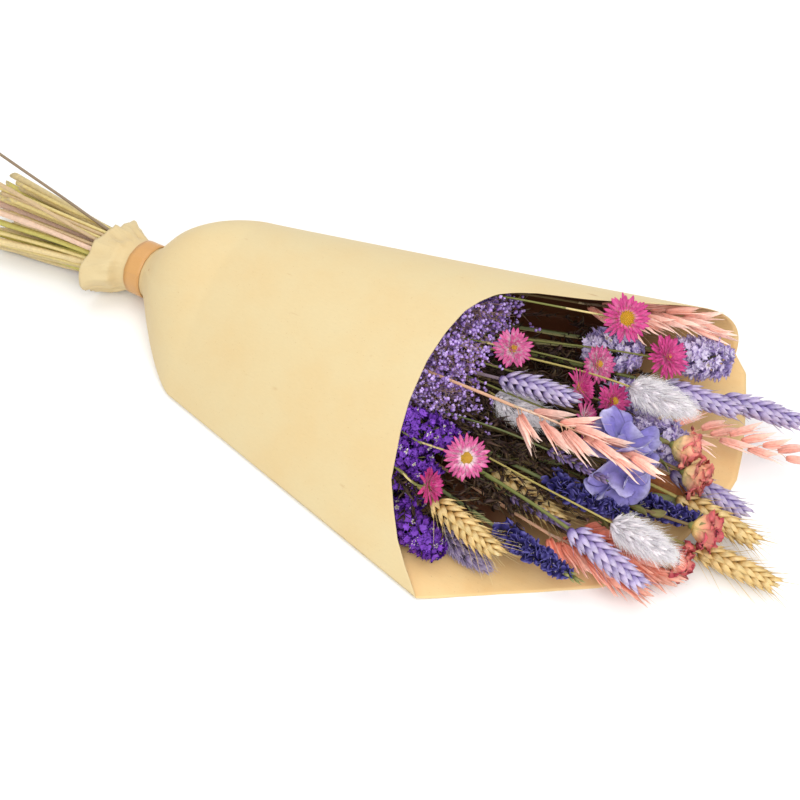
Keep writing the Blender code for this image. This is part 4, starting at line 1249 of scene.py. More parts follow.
@dataclass
class Daisy(Growth):
    """A paper daisy: layers of narrow pointed petals round a domed disc of tiny florets."""

    look_at: tuple[float, float, float] = (0.42, -0.52, 0.74)
    radius: float = 15.5 * MM
    layers: int = 4
    petals: int = 25
    disc: float = 3.6 * MM
    openness: float = 0.25  # how steep the outermost petals are, in radians
    steeper: float = 0.32  # how much steeper each layer inside is
    wide: float = 1.35 * MM

    def flower(self) -> Shape:
        """The open flower facing +Z, with its foot at the origin."""
        rng, r = self.rng, self.radius
        shapes = []
        for layer in range(self.layers):
            size = r * (1.0 - 0.11 * layer)
            whorl = Whorl(self.petals - 2 * layer, self.disc * 0.55, size, self.wide * (1 - 0.10 * layer),
                          self.openness + self.steeper * layer, -0.15, PetalForm.RAY, 0.09 * MM, 0.35, 8, 6,
                          0.16)
            ring = whorl.build(rng)
            ring.points = ring.points + np.array([0.0, 0.0, (2.0 + 0.5 * layer) * MM])
            shapes.append(ring)
        petals = Shape.joined(shapes).crumpled(0.25 * MM, 520.0, int(rng.integers(SEEDS)))
        count = 110
        share = np.sqrt((np.arange(count) + 0.5) / count)
        angle = spiral(count)
        dome = round_z(angle, self.disc * share, (3.0 + 2.6 * np.sqrt(1 - 0.8 * share**2)) * MM)
        out = unit(round_z(angle, share * 0.8, np.ones(count)))
        bead = turned(np.array([(0, -0.6), (0.30, -0.4), (0.36, 0.2), (0.30, 0.7), (0, 0.85)]) * MM, 6,
                      Look.HEART)
        disc = bead.copies(facing(out, 0 * share), dome, 1.0 - share)
        core = turned(np.array([(0, 1.0), (0.8, 1.2), (0.95, 2.6), (0.85, 3.6), (0.5, 4.8), (0, 5.2)])
                      * np.array([self.disc, MM]), 16, Look.HEART)
        cup = turned(np.array([(0, -0.6), (0.9, -0.3), (2.6, 1.2), (3.3, 2.8), (3.1, 3.2), (0, 2.6)]) * MM,
                     14, Look.HUSK)
        scales = [Whorl(11, 1.0 * MM, 5.4 * MM, 1.0 * MM, 0.9 + 0.15 * i, -0.1, PetalForm.LANCE,
                        rows=5).build(rng, Look.HUSK)
                  for i in range(3)]
        return Shape.joined([petals, disc, core, cup, *scales])

    def parts(self) -> list[Shape]:
        """The stalk bends up into the flower's foot."""
        toward = unit(np.array([self.look_at]))[0]
        foot = self.solid.centre - toward * 5.0 * MM
        flower = self.flower().copies(facing(toward[None], self.rng.uniform(0, 6, 1)), foot[None],
                                      np.zeros(1))
        end = self.solid.line.points[-1]
        t = np.linspace(0, 1, 12)[:, None]
        bend = foot - toward * 7 * MM
        neck = (1 - t) ** 2 * end + 2 * t * (1 - t) * bend + t**2 * foot
        neck_piece = tubes(neck[None], np.full((1, 12), self.stalk_r * 0.8), 8, Look.STALK)
        return [self.stalk(), neck_piece, flower]


@dataclass
class Statice(Growth):
    """Statice: dense rows of papery funnels with ruffled rims, a few with a white flower inside."""

    radius: float = 9 * MM
    funnels: int = 120
    funnel: float = 1.0
    flowering: float = 0.10

    def funnel_shape(self) -> Shape:
        """One funnel facing +Z: out along its outside and back down the inside."""
        profile = np.array([(0, 0), (0.5, 0.6), (1.0, 4.0), (2.5, 6.1), (3.9, 7.2), (2.6, 6.5), (0, 4.6)])
        shape = turned(profile * MM * self.funnel, 14, Look.PETAL, 6, 0.34)
        return shape.crumpled(1.0 * MM * self.funnel, 700.0 / self.funnel, int(self.rng.integers(SEEDS)))

    def head(self) -> Shape:
        """Funnels grow from short twigs all over the head."""
        rng, long, count = self.rng, self.solid.head_long, self.funnels
        share = rng.permutation(np.linspace(0.0, 0.93, count))
        angle = spiral(count) + rng.normal(0, 0.25, count)
        swell = np.sin(math.pi * np.clip(share * 0.80 + 0.16, 0, 1)) ** 0.6
        lean = np.clip(1.15 - 0.75 * share + rng.normal(0, 0.28, count), 0, 1.5)
        out = outward(angle)
        way = leaning(out, lean)
        reach = 6.8 * MM * self.funnel
        radius = np.clip(self.radius * swell * rng.uniform(0.55, 1.0, count) ** 0.5 - reach * np.sin(lean),
                         0.4 * MM, None)
        place = round_z(angle, radius, long * share - reach * 0.35)
        turns = facing(way, rng.uniform(0, 6, count)) * rng.uniform(0.75, 1.1, count)[:, None, None]
        tones = rng.uniform(0, 1, count)
        kinds = [self.funnel_shape() for _ in range(3)]
        funnels = [kind.copies(turns[i::3], place[i::3], tones[i::3]) for i, kind in enumerate(kinds)]
        few = max(1, int(count * self.flowering))
        star = Whorl(5, 0.2 * MM, 2.3 * MM, 0.7 * MM, 0.7, -0.3, PetalForm.ROUND, 0.12 * MM, rows=4, sides=4)
        inside = place[:few] + way[:few] * 5.6 * MM * self.funnel
        stars = star.build(rng, Look.HEART).copies(turns[:few], inside, tones[:few])
        twig_count = 24
        t = steps(4)
        low = np.stack([0 * share, 0 * share, np.clip(place[:, 2] - 7 * MM, 0, None)], axis=-1)[:twig_count]
        twigs = tubes(low[:, None] + (place[:twig_count] - low)[:, None] * t, np.full((1, 4), 0.45 * MM), 4,
                      Look.HUSK)
        spine = upright(long, 0.85, 0.9 * MM, 4, 6, Look.HUSK)
        return Shape.joined([*funnels, stars, twigs, spine])

    def extras(self) -> list[Shape]:
        """The stalk's two wavy wings."""
        line, rng = self.solid.line, self.rng
        reach = np.linspace(6 * MM, self.solid.base, 60)
        path, turn = line.at(reach)
        width = self.stalk_r + 1.1 * MM * (0.6 + 0.4 * np.sin(reach * 130 + rng.uniform(0, 6)))
        side = turn[:, :, 0] + 0.5 * np.sin(reach * 22)[:, None] * turn[:, :, 1]
        return [loft(path[None], side[None], width[None], np.full((1, 60), 0.18 * MM), 6, 0.0, Look.HUSK)]


@dataclass
class BroomSpray(Growth):
    """A spray of fine twigs that ends in clusters of tiny buds."""

    radius: float = 21 * MM
    branches: int = 26
    twigs: int = 380
    bud: float = 1.15 * MM

    def head(self) -> Shape:
        """Branches bend out of the stalk, twigs leave them, and each twig ends in one to three buds."""
        rng, long = self.rng, self.solid.head_long
        count = self.branches
        angle = spiral(count) + rng.normal(0, 0.3, count)
        end = round_z(angle, self.radius * 0.8 * np.sqrt(rng.uniform(0.05, 1, count)),
                      long * rng.uniform(0.5, 1.0, count))
        foot = np.stack([0 * angle, 0 * angle, long * rng.uniform(-0.35, 0.2, count)], axis=-1)
        middle = (foot + end) / 2 + np.array([0, 0, 8 * MM]) - end * np.array([0.15, 0.15, 0])

        def on_branch(which: Array, t: Array) -> Array:
            """Points on the branches, each a quadratic Bezier curve from foot to end."""
            t = t[..., None]
            a, b, c = (p[which] for p in (foot, middle, end))
            if t.ndim == 3:
                a, b, c = a[:, None], b[:, None], c[:, None]
            return (1 - t) ** 2 * a + 2 * t * (1 - t) * b + t**2 * c

        whole = np.broadcast_to(np.linspace(0, 1, 9), (count, 9))
        branches = tubes(on_branch(np.arange(count), whole), np.linspace(0.45, 0.2, 9)[None] * MM, 4,
                         Look.STALK)
        which = rng.integers(0, count, self.twigs)
        t = rng.uniform(0.30, 1.0, self.twigs)
        root = on_branch(which, t)
        spread = rng.normal(0, 1, (self.twigs, 3)) * np.array([1, 1, 0.45]) + np.array([0, 0, 0.9])
        tip = root + unit(spread) * rng.uniform(4, 16, (self.twigs, 1)) * MM
        s = steps(4)
        bow = rng.normal(0, 0.8 * MM, (self.twigs, 1, 3)) * np.sin(math.pi * s)
        twigs = tubes(root[:, None] + (tip - root)[:, None] * s + bow, np.full((1, 4), 0.17 * MM), 3,
                      Look.STALK, rng.uniform(0, 1, self.twigs))
        profile = np.array([(0, -0.9), (0.75, -0.6), (1.0, 0.2), (0.5, 0.95), (0, 0.6)]) * self.bud
        bud = turned(profile, 8, Look.PETAL, 4, 0.25)
        source = np.repeat(np.arange(self.twigs), rng.integers(1, 4, self.twigs))
        buds = len(source)
        place = tip[source] + rng.normal(0, 1.1 * MM, (buds, 3))
        turns = facing(unit(tip - root)[source] + rng.normal(0, 0.4, (buds, 3)), rng.uniform(0, 6, buds))
        size = rng.uniform(0.55, 1.15, buds)[:, None, None]
        return Shape.joined([branches, twigs, bud.copies(turns * size, place, rng.uniform(0, 1, buds))])


@dataclass
class BudSpike(Growth):
    """A slim spike of lavender: small pointed buds in rings up the stalk."""

    rings: int = 9
    each: int = 7

    def head(self) -> Shape:
        """Rings of buds that lean forwards."""
        rng, long = self.rng, self.solid.head_long
        count = self.rings * self.each
        ring = np.repeat(np.arange(self.rings), self.each)
        angle = spiral(count, 2 * math.pi / self.each + 0.13)
        share = (ring + rng.uniform(0, 0.6, count)) / self.rings
        lean = 0.75 - 0.4 * share
        out = outward(angle)
        way = leaning(out, lean)
        rows = 5
        t = steps(rows)
        foot = out[:, None] * 0.5 * MM + UP * (share * 0.86 * long)[:, None, None]
        paths = foot + way[:, None] * t * 5 * MM
        width = 1.0 * MM * PetalForm.HUSK.widths(rows)[None]
        buds = loft(paths, np.cross(UP, out)[:, None], width, width, 6, 0.0, Look.PETAL,
                    rng.uniform(0, 1, count))
        rib = upright(long, 0.9, 0.5 * MM, rows, 5, Look.STALK)
        return Shape.joined([buds, rib])


@dataclass
class LeafSpray(Growth):
    """A stalk that ends in one broad dry leaf, with smaller leaves below it."""

    wide: float = 8 * MM
    form: PetalForm = PetalForm.LANCE
    lower: int = 4

    def head(self) -> Shape:
        """A blade that bends up at its edges and curls at its tip."""
        rows = 22
        t = np.linspace(0, 1, rows)
        path = np.stack([1.5 * MM * np.sin(3 * t), 2.5 * MM * np.sin(2.2 * t), t * self.solid.head_long],
                        axis=-1)[None]
        width = self.wide * self.form.widths(rows)[None]
        blade = loft(path, np.array([[[1.0, 0.25, 0.0]]]), width, np.full((1, rows), 0.2 * MM), 16,
                     width * 0.35, Look.PETAL)
        return blade.crumpled(0.9 * MM, 160.0, int(self.rng.integers(SEEDS)))

    def extras(self) -> list[Shape]:
        """Smaller leaves on the way up."""
        return [self.leaves(self.lower, 20 * MM, self.wide * 0.45, 0.80, 0.97, self.form, Look.PETAL, 0.5)]


# ---------------------------------------------------------------- paper, band and twine
@dataclass
class Sleeve:
    """The kraft paper: one sheet rolled round the stems, gathered at the neck and cut aslant at the mouth."""

    form: SleeveForm = PAPER
    outside: PaperFinish = PaperFinish("kraft_paper_look", paint(208, 190, 146), paint(204, 179, 130),
                                       paint(170, 128, 84), cloud=0.12)
    # The inside face is lighter than the outside face of the same paper: painted light on the inner sheet;
    # far inside the mouth it darkens to painted shade.
    inside: PaperFinish = PaperFinish("kraft_inside_look", paint(236, 206, 150), paint(222, 180, 120),
                                      paint(150, 104, 56), cloud=0.3, painted_shade=paint(96, 52, 22))
    around: int = 300
    behind: int = 70  # rows from the tail to the shoulder
    ahead: int = 92  # rows from the shoulder to the mouth

    def surface(self) -> tuple[Array, Array, Array]:
        """The outer face as a grid (rows, around, 3), with x and the share of the width at each point."""
        form = self.form
        turn = np.arange(self.around) / self.around
        over = turn <= 0.5
        half_turn = np.where(over, 2 * turn, 2 - 2 * turn)
        share = (1 - np.cos(math.pi * half_turn)) / 2
        ends = [np.interp(share, *np.array(edge).T) for edge in (form.top_edge, form.bottom_edge)]
        end = np.where(over, *ends)
        first = np.linspace(form.tail, form.shoulder, self.behind, endpoint=False)[:, None] + 0 * end
        second = form.shoulder + (end - form.shoulder) * np.linspace(0, 1, self.ahead)[:, None]
        x = np.concatenate([first, second])
        half = form.half(x)
        z = np.where(over, form.top(x, share), form.bottom(x, share))
        return np.stack([x, half * (2 * share - 1), z], axis=-1), x, np.broadcast_to(turn, x.shape)

    def folds(self, x: Array, turn: Array) -> Array:
        """How far the paper sinks below its smooth form, over zero everywhere.

        Pleats are sharp ridges round the neck that fade along the sleeve; longer folds fan out from some of
        them; behind the band the paper is crushed into facets.
        """
        form = self.form
        phase = turn * 2 * math.pi
        warp = phase + 0.35 * np.sin(2 * phase + 1.0) + 0.18 * np.sin(5 * phase + 2.0)
        ridge = 1 - np.abs(np.sin(warp * 6.5 + 0.5 * np.sin(3 * phase)))
        fine = 1 - np.abs(np.sin(warp * 15.0 + 1.3 * np.sin(2 * phase + 0.5)))
        past = np.clip(x - form.gripped[1], 0, None)
        front = np.clip(past / 0.006, 0, 1) * np.exp(-past / 0.012)
        gather = (1.7 * (1 - ridge) ** 0.8 + 0.5 * (1 - fine)) * front * MM
        rear = np.clip((form.gripped[0] - x) / 0.008, 0, 1)
        ring = np.stack([x, np.cos(phase) * 0.02, np.sin(phase) * 0.02], axis=-1)
        facets = sum(np.abs(ripple(ring * np.array([0.5, 1.0, 1.0]), 130.0 * 1.7**k, 40 + k)) / 1.5**k
                     for k in range(3))
        puff = np.clip(0.55 + 0.45 * np.sin(phase + 1.2), 0, 1) * rear
        crush = (2.0 * (1 - ridge) + 0.8 * (1 - fine)) * (1 - 0.75 * rear) + facets * 6.0 * rear - 8.0 * puff
        crush = crush * rear * MM
        beyond = np.clip((x - form.neck) / 0.08, 0, 1)
        sheet = np.stack([x * 0.5, np.cos(phase) * 0.05, np.sin(phase) * 0.05], -1)
        soft = (0.5 + 0.5 * ripple(sheet, 38.0, 7)) * 0.8 * MM * beyond
        rays = np.abs(np.sin(warp * 3.5 + 0.6)) * np.exp(-past / 0.030)
        rays = rays * np.clip(past / 0.01, 0, 1) * 0.8 * MM
        soft = soft + rays
        return gather + crush + soft

    def build(self) -> bpy.types.Object:
        """Sinks the folds into the smooth form, thickens the sheet and joins its two faces at the rims."""
        grid, x, turn = self.surface()
        around = np.roll(grid, -1, axis=1) - np.roll(grid, 1, axis=1)
        normal = unit(np.cross(np.gradient(grid, axis=0), around))
        middle = np.array([0.0, 0.0, self.form.axis_z])
        outwards = ((grid - middle) * np.array([0, 1, 1]) * normal).sum(axis=-1, keepdims=True)
        normal = normal * np.sign(outwards + 1e-9)
        sunk = self.folds(x, turn)
        on_table = np.clip(1 - grid[..., 2] / (6 * MM), 0, 1) * (x > self.form.neck)
        sunk = sunk * (1 - on_table)
        outer = grid - normal * sunk[..., None]
        inner = outer - normal * self.form.wall
        inner[..., 2] = np.maximum(inner[..., 2], self.form.wall)
        # How sharply the folds bend; the paper's finish is darker there.
        fold_bend = np.clip(np.abs(np.gradient(np.gradient(sunk, axis=1), axis=1)) * 2500, 0, 1)
        shift = NECK - middle
        sheet = np.concatenate([outer, inner[::-1]]) + shift
        sheet[..., 2] = np.maximum(sheet[..., 2], 0.0)
        rows, count = sheet.shape[:2]
        row, column = (v.ravel() for v in np.meshgrid(np.arange(rows), np.arange(count), indexing="ij"))
        next_row, next_column = (row + 1) % rows, (column + 1) % count
        faces = np.stack([row * count + column, row * count + next_column, next_row * count + next_column,
                          next_row * count + column], axis=1)
        along = np.concatenate([x, x[::-1]]) / 0.4
        uv = np.stack([np.concatenate([turn, turn]), along], axis=-1)
        shape = Shape(sheet.reshape(-1, 3), faces, uv.reshape(-1, 2),
                      np.concatenate([fold_bend, fold_bend[::-1]]).ravel(),
                      (row >= len(outer)).astype(int))
        area = np.cross(sheet[11, 10] - sheet[10, 10], sheet[10, 11] - sheet[10, 10]) @ normal[10, 10]
        if area > 0:
            shape.faces = shape.faces[:, ::-1]
        return add_piece("kraft_paper", shape, [self.outside, self.inside], ["kraft_sleeve"])


@dataclass
class NeckBand:
    """The strip of gummed paper that closes the sleeve, one end lapped over the other."""

    half: float = 6.5 * MM
    inside: float = 19.3 * MM
    thick: float = 0.6 * MM
    finish: PaperFinish = PaperFinish("gummed_paper_look", paint(206, 158, 96), paint(194, 143, 82),
                                      paint(140, 92, 52), 0.42, 0.08, 0.2)

    def build(self) -> bpy.types.Object:
        """A ring with a rounded flat section that follows the gathered paper loosely."""
        around = 220
        angle = 2 * math.pi * np.arange(around) / around
        corner = np.array([(-1, 0), (-0.5, 0), (0, 0), (0.5, 0), (1, 0), (1.01, 0.5), (1, 1), (0.5, 1),
                           (0, 1), (-0.5, 1),
                           (-1, 1), (-1.01, 0.5)])
        wave = 0.22 * MM * np.sin(7 * angle + 1) + 0.15 * MM * np.sin(13 * angle)
        lap = 0.30 * MM * ((angle > 1.9) & (angle < 2.6))
        skew = 0.4 * MM * np.sin(angle + 0.5)
        radius = self.inside + wave[:, None] * 0.5 + corner[:, 1] * (self.thick + lap[:, None])
        x = corner[:, 0] * self.half + skew[:, None]
        grid = np.stack([x, radius * np.cos(angle)[:, None], radius * np.sin(angle)[:, None]], axis=-1) + NECK
        count = len(corner)
        row, column = (v.ravel() for v in np.meshgrid(np.arange(around), np.arange(count), indexing="ij"))
        after, beside = (row + 1) % around, (column + 1) % count
        faces = np.stack([row * count + column, row * count + beside, after * count + beside,
                          after * count + column], 1)
        uv = np.stack([row / around, column / count], axis=1)
        shape = Shape(grid.reshape(-1, 3), faces, uv, np.zeros(len(row)), np.zeros(len(faces), int))
        return add_piece("gummed_band", shape, [self.finish], ["neck_band"])


@dataclass
class TwineTie:
    """Jute twine wound three times round the stems."""

    radius: float = 15.7 * MM
    twine: float = 0.8 * MM
    turns: int = 3
    finish: TwineFinish = TwineFinish("jute_look", paint(206, 170, 120), paint(140, 104, 64))

    def build(self) -> bpy.types.Object:
        """A tube along a helix."""
        rows = 260
        t = np.linspace(0, 1, rows)
        angle = 2 * math.pi * self.turns * t
        x = (t - 0.5) * self.turns * 1.9 * self.twine
        coil = np.stack([x, self.radius * np.cos(angle), self.radius * np.sin(angle)], axis=-1) + NECK
        out = np.stack([0 * x, np.cos(angle), np.sin(angle)], axis=-1)
        shape = loft(coil[None], out[None], np.full((1, rows), self.twine), np.full((1, rows), self.twine), 8)
        return add_piece("twine_coil", shape, [self.finish], ["twine_tie"])


# ---------------------------------------------------------------- the plants' colours
def dried(name: str, *colours: Colour, **options: Any) -> DriedFinish:
    """A finish whose colours are spread evenly from foot to tip."""
    places = np.linspace(0, 1, len(colours))
    return DriedFinish(name, tuple((float(p), c) for p, c in zip(places, colours)), **options)


def stalk_finish(name: str, low: Colour, high: Colour, pith: Colour = paint(226, 208, 162)) -> DriedFinish:
    """A stalk's finish: pale pith at the cut, then from low to high."""
    stops = ((0.0, pith), (0.035, pith), (0.05, low), (0.30, low), (0.50, high), (1.0, high))
    return DriedFinish(name, stops, fading=0.30, streaks=0.25, streak_count=7.0, mottle=0.2, roughness=0.55)


STRAW = stalk_finish("straw_stalk", paint(246, 226, 172), paint(196, 182, 104))
OLIVE = stalk_finish("olive_stalk", paint(224, 214, 118), paint(118, 128, 62))
SAGE = stalk_finish("sage_stalk", paint(232, 212, 158), paint(118, 130, 80))
BLUSH = stalk_finish("blush_stalk", paint(244, 214, 190), paint(232, 186, 152))
MAUVE = stalk_finish("mauve_stalk", paint(226, 194, 176), paint(156, 138, 150))
BROWN = stalk_finish("brown_stalk", paint(160, 140, 116), paint(124, 104, 62))
WIRE = stalk_finish("wiry_stalk", paint(218, 192, 150), paint(158, 122, 124))
THREAD = stalk_finish("thread_stalk", paint(236, 218, 150), paint(134, 138, 70))

GREEN_HUSK = dried("green_husk", paint(120, 124, 62), paint(146, 146, 84), paint(170, 160, 110))
STRAW_HUSK = dried("straw_husk", paint(206, 176, 108), paint(232, 208, 146), paint(240, 222, 170))
LILAC_HUSK = dried("lilac_husk", paint(150, 132, 168), paint(176, 160, 196), paint(204, 192, 214))
BLUSH_HUSK = dried("blush_husk", paint(240, 180, 152), paint(248, 204, 182), paint(250, 224, 204))
# Near-black twigs and leaves in the paper's mouth: partly real filler, and their dark colour is painted shade
# standing for the deep shade there.
SHADE_FILLER = dried("shade_filler_dark", paint(34, 22, 16), paint(62, 40, 26), paint(92, 76, 38),
               faded=paint(72, 28, 44),
               mottle=0.6, through=0.12)
BRACTS = dried("daisy_bracts", paint(96, 84, 44), paint(160, 130, 84), paint(196, 160, 130))
DISC = dried("daisy_disc", paint(232, 200, 40), paint(236, 206, 44), paint(214, 170, 30), mottle=0.3,
             roughness=0.8)
OLIVE_DISC = dried("olive_disc", paint(196, 166, 66), paint(170, 150, 60), paint(120, 96, 40), mottle=0.4,
                   roughness=0.8)

GRAIN = dried("wheat_grain", paint(104, 70, 32), paint(206, 164, 92), paint(246, 220, 158),
              paint(240, 210, 142),
              paint(214, 176, 104), streaks=0.3, roughness=0.5)
LILAC_GRAIN = dried("lilac_grain", paint(54, 40, 76), paint(138, 118, 184), paint(194, 180, 222),
                    paint(214, 202, 228),
                    paint(170, 154, 200), streaks=0.3, faded=paint(170, 148, 156), roughness=0.52)
CANARY = dried("canary_husk", paint(104, 84, 130), paint(148, 130, 176), paint(190, 176, 204),
               faded=paint(160, 144, 150))
OAT = dried("oat_husk", paint(232, 160, 144), paint(245, 190, 174), paint(251, 212, 198),
            paint(254, 234, 222),
            streaks=0.34, faded=paint(247, 212, 188), roughness=0.5, glow=0.07)
CORAL_OAT = dried("coral_husk", paint(226, 120, 96), paint(240, 150, 126), paint(247, 182, 160),
                  paint(250, 206, 188), streaks=0.35, faded=paint(240, 180, 150), roughness=0.5, glow=0.04)
FUR = dried("tail_fur", paint(226, 220, 228), paint(244, 242, 246), paint(253, 253, 253),
            faded=paint(238, 228, 216),
            streaks=0.1, mottle=0.1, roughness=0.8, sheen=0.4, through=0.45, glow=0.16)
FUR_CORE = dried("tail_core", paint(216, 206, 212), paint(238, 232, 238), paint(246, 242, 246),
                 faded=paint(230, 216, 204), mottle=0.1, glow=0.12)
INDIGO = dried("larkspur_petal", paint(24, 16, 62), paint(38, 30, 96), paint(58, 50, 134),
               paint(124, 118, 198),
               faded=paint(44, 34, 78), mottle=0.55, roughness=0.7)
EYE = dried("larkspur_eye", paint(206, 186, 110), paint(228, 220, 200), paint(206, 206, 232))
SEPAL = dried("hydrangea_sepal", paint(150, 152, 196), paint(128, 118, 196), paint(144, 134, 208),
              paint(198, 194, 230),
              faded=paint(168, 156, 196), streaks=0.30, mottle=0.34, mottle_scale=260.0, roughness=0.66)
# Dark at each funnel's foot, deep in the head, and light towards its rim and inside: painted shade and
# painted highlight on the papery violet.
VIOLET = dried("violet_papery", paint(34, 6, 70), paint(62, 10, 124), paint(88, 22, 164), paint(146, 84, 216),
               faded=paint(96, 24, 136), streaks=0.35, mottle=0.45, roughness=0.66)
# Dark at each funnel's foot, deep in the head, and light towards its rim and inside: painted shade and
# painted highlight on the papery lilac.
LILAC = dried("lilac_papery", paint(110, 94, 150), paint(150, 134, 198), paint(190, 174, 224),
              paint(232, 224, 242),
              faded=paint(190, 166, 190), streaks=0.3, mottle=0.3, roughness=0.66, glow=0.05)
WHITE_STAR = dried("white_star", paint(232, 220, 170), paint(242, 238, 226), paint(250, 248, 244))
LILAC_BUD = dried("broom_bud", paint(124, 84, 170), paint(172, 140, 220), paint(212, 192, 242),
                  faded=paint(196, 156, 206), mottle=0.3, glow=0.06)
CALYX = dried("broom_calyx", paint(110, 70, 90), paint(140, 100, 120))
LAVENDER = dried("lavender_bud", paint(96, 82, 110), paint(110, 90, 150), paint(140, 120, 180))
ROSE = dried("rose_petal", paint(236, 206, 110), paint(244, 212, 146), paint(242, 164, 140),
             paint(222, 84, 104),
             faded=paint(240, 190, 150), streaks=0.28, mottle=0.28, roughness=0.6)
PALE_ROSE = dried("pale_rose_petal", paint(240, 214, 130), paint(248, 226, 160), paint(246, 200, 158),
                  paint(230, 108, 116),
                  faded=paint(244, 212, 160), streaks=0.28, mottle=0.28, roughness=0.6)
RUST_LEAF = dried("rust_leaf", paint(150, 84, 36), paint(196, 116, 48), paint(214, 150, 70), mottle=0.4,
                  roughness=0.55)
SAGE_LEAF = dried("sage_leaf", paint(130, 140, 86), paint(160, 168, 112), paint(184, 184, 132), mottle=0.3,
                  roughness=0.55)

PINK = dried("pink_petal", paint(255, 252, 252), paint(254, 246, 248), paint(250, 214, 230),
             paint(234, 120, 180),
             paint(214, 66, 144), faded=paint(248, 214, 224), streaks=0.2, mottle=0.12, roughness=0.55,
             glow=0.05)
MAGENTA = dried("magenta_petal", paint(253, 220, 234), paint(247, 168, 208), paint(230, 92, 166),
                paint(214, 54, 142),
                faded=paint(240, 180, 206), streaks=0.26, mottle=0.14, roughness=0.55, glow=0.05)


def garden() -> list[Growth]:
    """Every plant, with its species' sizes and its own colours."""
    statice = (OLIVE, GREEN_HUSK, VIOLET, WHITE_STAR)
    pale_statice = (SAGE, GREEN_HUSK, LILAC, WHITE_STAR)
    broom = (WIRE, GREEN_HUSK, LILAC_BUD, CALYX)
    plants: list[Growth] = []
    plants += [Statice(f"statice_violet_{i}", "statice_violet", statice, 1.25 * MM, radius=11.5 * MM,
                       funnels=270, funnel=0.66)
               for i in (1, 2, 3, 4)]
    plants += [BroomSpray(f"broom_bloom_{i}", "broom_bloom", broom, 0.9 * MM) for i in range(1, 6)]
    up, side = (0.42, -0.52, 0.74), (0.86, 0.18, 0.48)
    tilted = (0.6, -0.25, 0.6)
    budding = {"radius": 13.5 * MM, "layers": 7, "openness": 0.3, "steeper": 0.16}
    for number, petals, disc, look_at, options in (
            (1, PINK, DISC, up, {"radius": 14.7 * MM, "openness": 0.05, "steeper": 0.20, "disc": 3.4 * MM}),
            (2, PINK, DISC, up, {"radius": 13.5 * MM, "disc": 2.8 * MM}),
            (3, MAGENTA, DISC, up, {"radius": 16 * MM, "disc": 7.0 * MM, "openness": 0.10}),
            (4, MAGENTA, DISC, (0.5, -0.15, 0.8), {"radius": 16 * MM, "layers": 8, "petals": 30,
                                                   "openness": 0.30, "steeper": 0.15, "disc": 2.2 * MM}),
            (5, PINK, DISC, tilted, budding),
            (6, MAGENTA, DISC, side, {"radius": 14 * MM, "layers": 5, "openness": 0.3}),
            (7, PINK, OLIVE_DISC, side, {"radius": 13.5 * MM, "layers": 6, "openness": 0.3}),
            (8, MAGENTA, DISC, tilted, budding),
            (9, MAGENTA, OLIVE_DISC, side, {"radius": 12 * MM, "openness": 0.35, "disc": 3.0 * MM})):
        plants.append(Daisy(f"daisy_{number}", "daisy", (THREAD, BRACTS, petals, disc), 0.8 * MM,
                            look_at=look_at, **options))
    plants += [WheatEar(f"wheat_natural_{i}", "wheat_natural", (STRAW, STRAW_HUSK, GRAIN), 1.4 * MM, awns=46,
                        awn_long=16 * MM) for i in range(1, 5)]
    plants += [WheatEar(f"wheat_lilac_{i}", "wheat_lilac",
                        (MAUVE if i % 2 else OLIVE, LILAC_HUSK, LILAC_GRAIN), 1.4 * MM,
                        awns=16, awn_long=8 * MM) for i in range(1, 6)]
    plants.append(SoftHead("canary_grass_1", "canary_grass", (SAGE, LILAC_HUSK, CANARY), 1.0 * MM,
                           radius=9 * MM, hairs=500, hair_long=8 * MM, husks=330, lean=0.6))
    plants += [OatPanicle(f"oat_blush_{i}", "oat_blush", (BLUSH, BLUSH_HUSK, OAT), 1.3 * MM, swell=1.6,
                          hang=hang, spikelets=count, spikelet_long=long * MM)
               for i, hang, count, long in ((1, -1.0, 16, 27), (3, 1.0, 12, 24))]
    plants.append(OatPanicle("oat_blush_2", "oat_blush", (BROWN, BLUSH_HUSK, OAT), 1.1 * MM, swell=1.0,
                             hang=-1.0, spikelets=20, spikelet_long=30 * MM))
    plants += [OatPanicle(f"oat_coral_{i}", "oat_coral", (BLUSH, BLUSH_HUSK, CORAL_OAT), 1.3 * MM,
                          spikelets=22, spikelet_long=24 * MM, husk_wide=3.2 * MM, hang=hang) for i,
               hang in ((1, -0.8), (2, 0.8))]
    plants += [SoftHead(f"bunny_tail_{i}", "bunny_tail", (STRAW, FUR, FUR_CORE), 0.8 * MM, radius=10 * MM)
               for i in (1, 2, 3)]
    plants += [LarkspurSpike(f"larkspur_{i}", "larkspur", (SAGE, GREEN_HUSK, INDIGO, EYE), 1.5 * MM)
               for i in (1, 2, 3)]
    plants.append(Hydrangea("hydrangea_1", "hydrangea", (BROWN, GREEN_HUSK, SEPAL, DISC), 1.9 * MM))
    plants += [RoseBud(f"rose_bud_{i}", "rose", (BROWN, GREEN_HUSK, PALE_ROSE if i < 3 else ROSE), 1.3 * MM)
               for i in range(1, 5)]
    plants += [Statice(f"statice_lilac_{i}", "statice_lilac", pale_statice, 1.4 * MM, radius=14.5 * MM,
                       funnels=240, funnel=0.80) for i in range(1, 5)]
    plants += [BudSpike(f"lavender_sprig_{i}", "lavender_sprig", (SAGE, GREEN_HUSK, LAVENDER), 0.75 * MM)
               for i in (1, 2)]
    plants.append(LeafSpray("leaf_spray_1", "leaf", (BROWN, GREEN_HUSK, RUST_LEAF), 0.95 * MM))
    plants.append(LeafSpray("leaf_spray_2", "leaf", (OLIVE, GREEN_HUSK, SAGE_LEAF), 0.95 * MM, wide=7 * MM,
                            form=PetalForm.ROUND))
    return plants


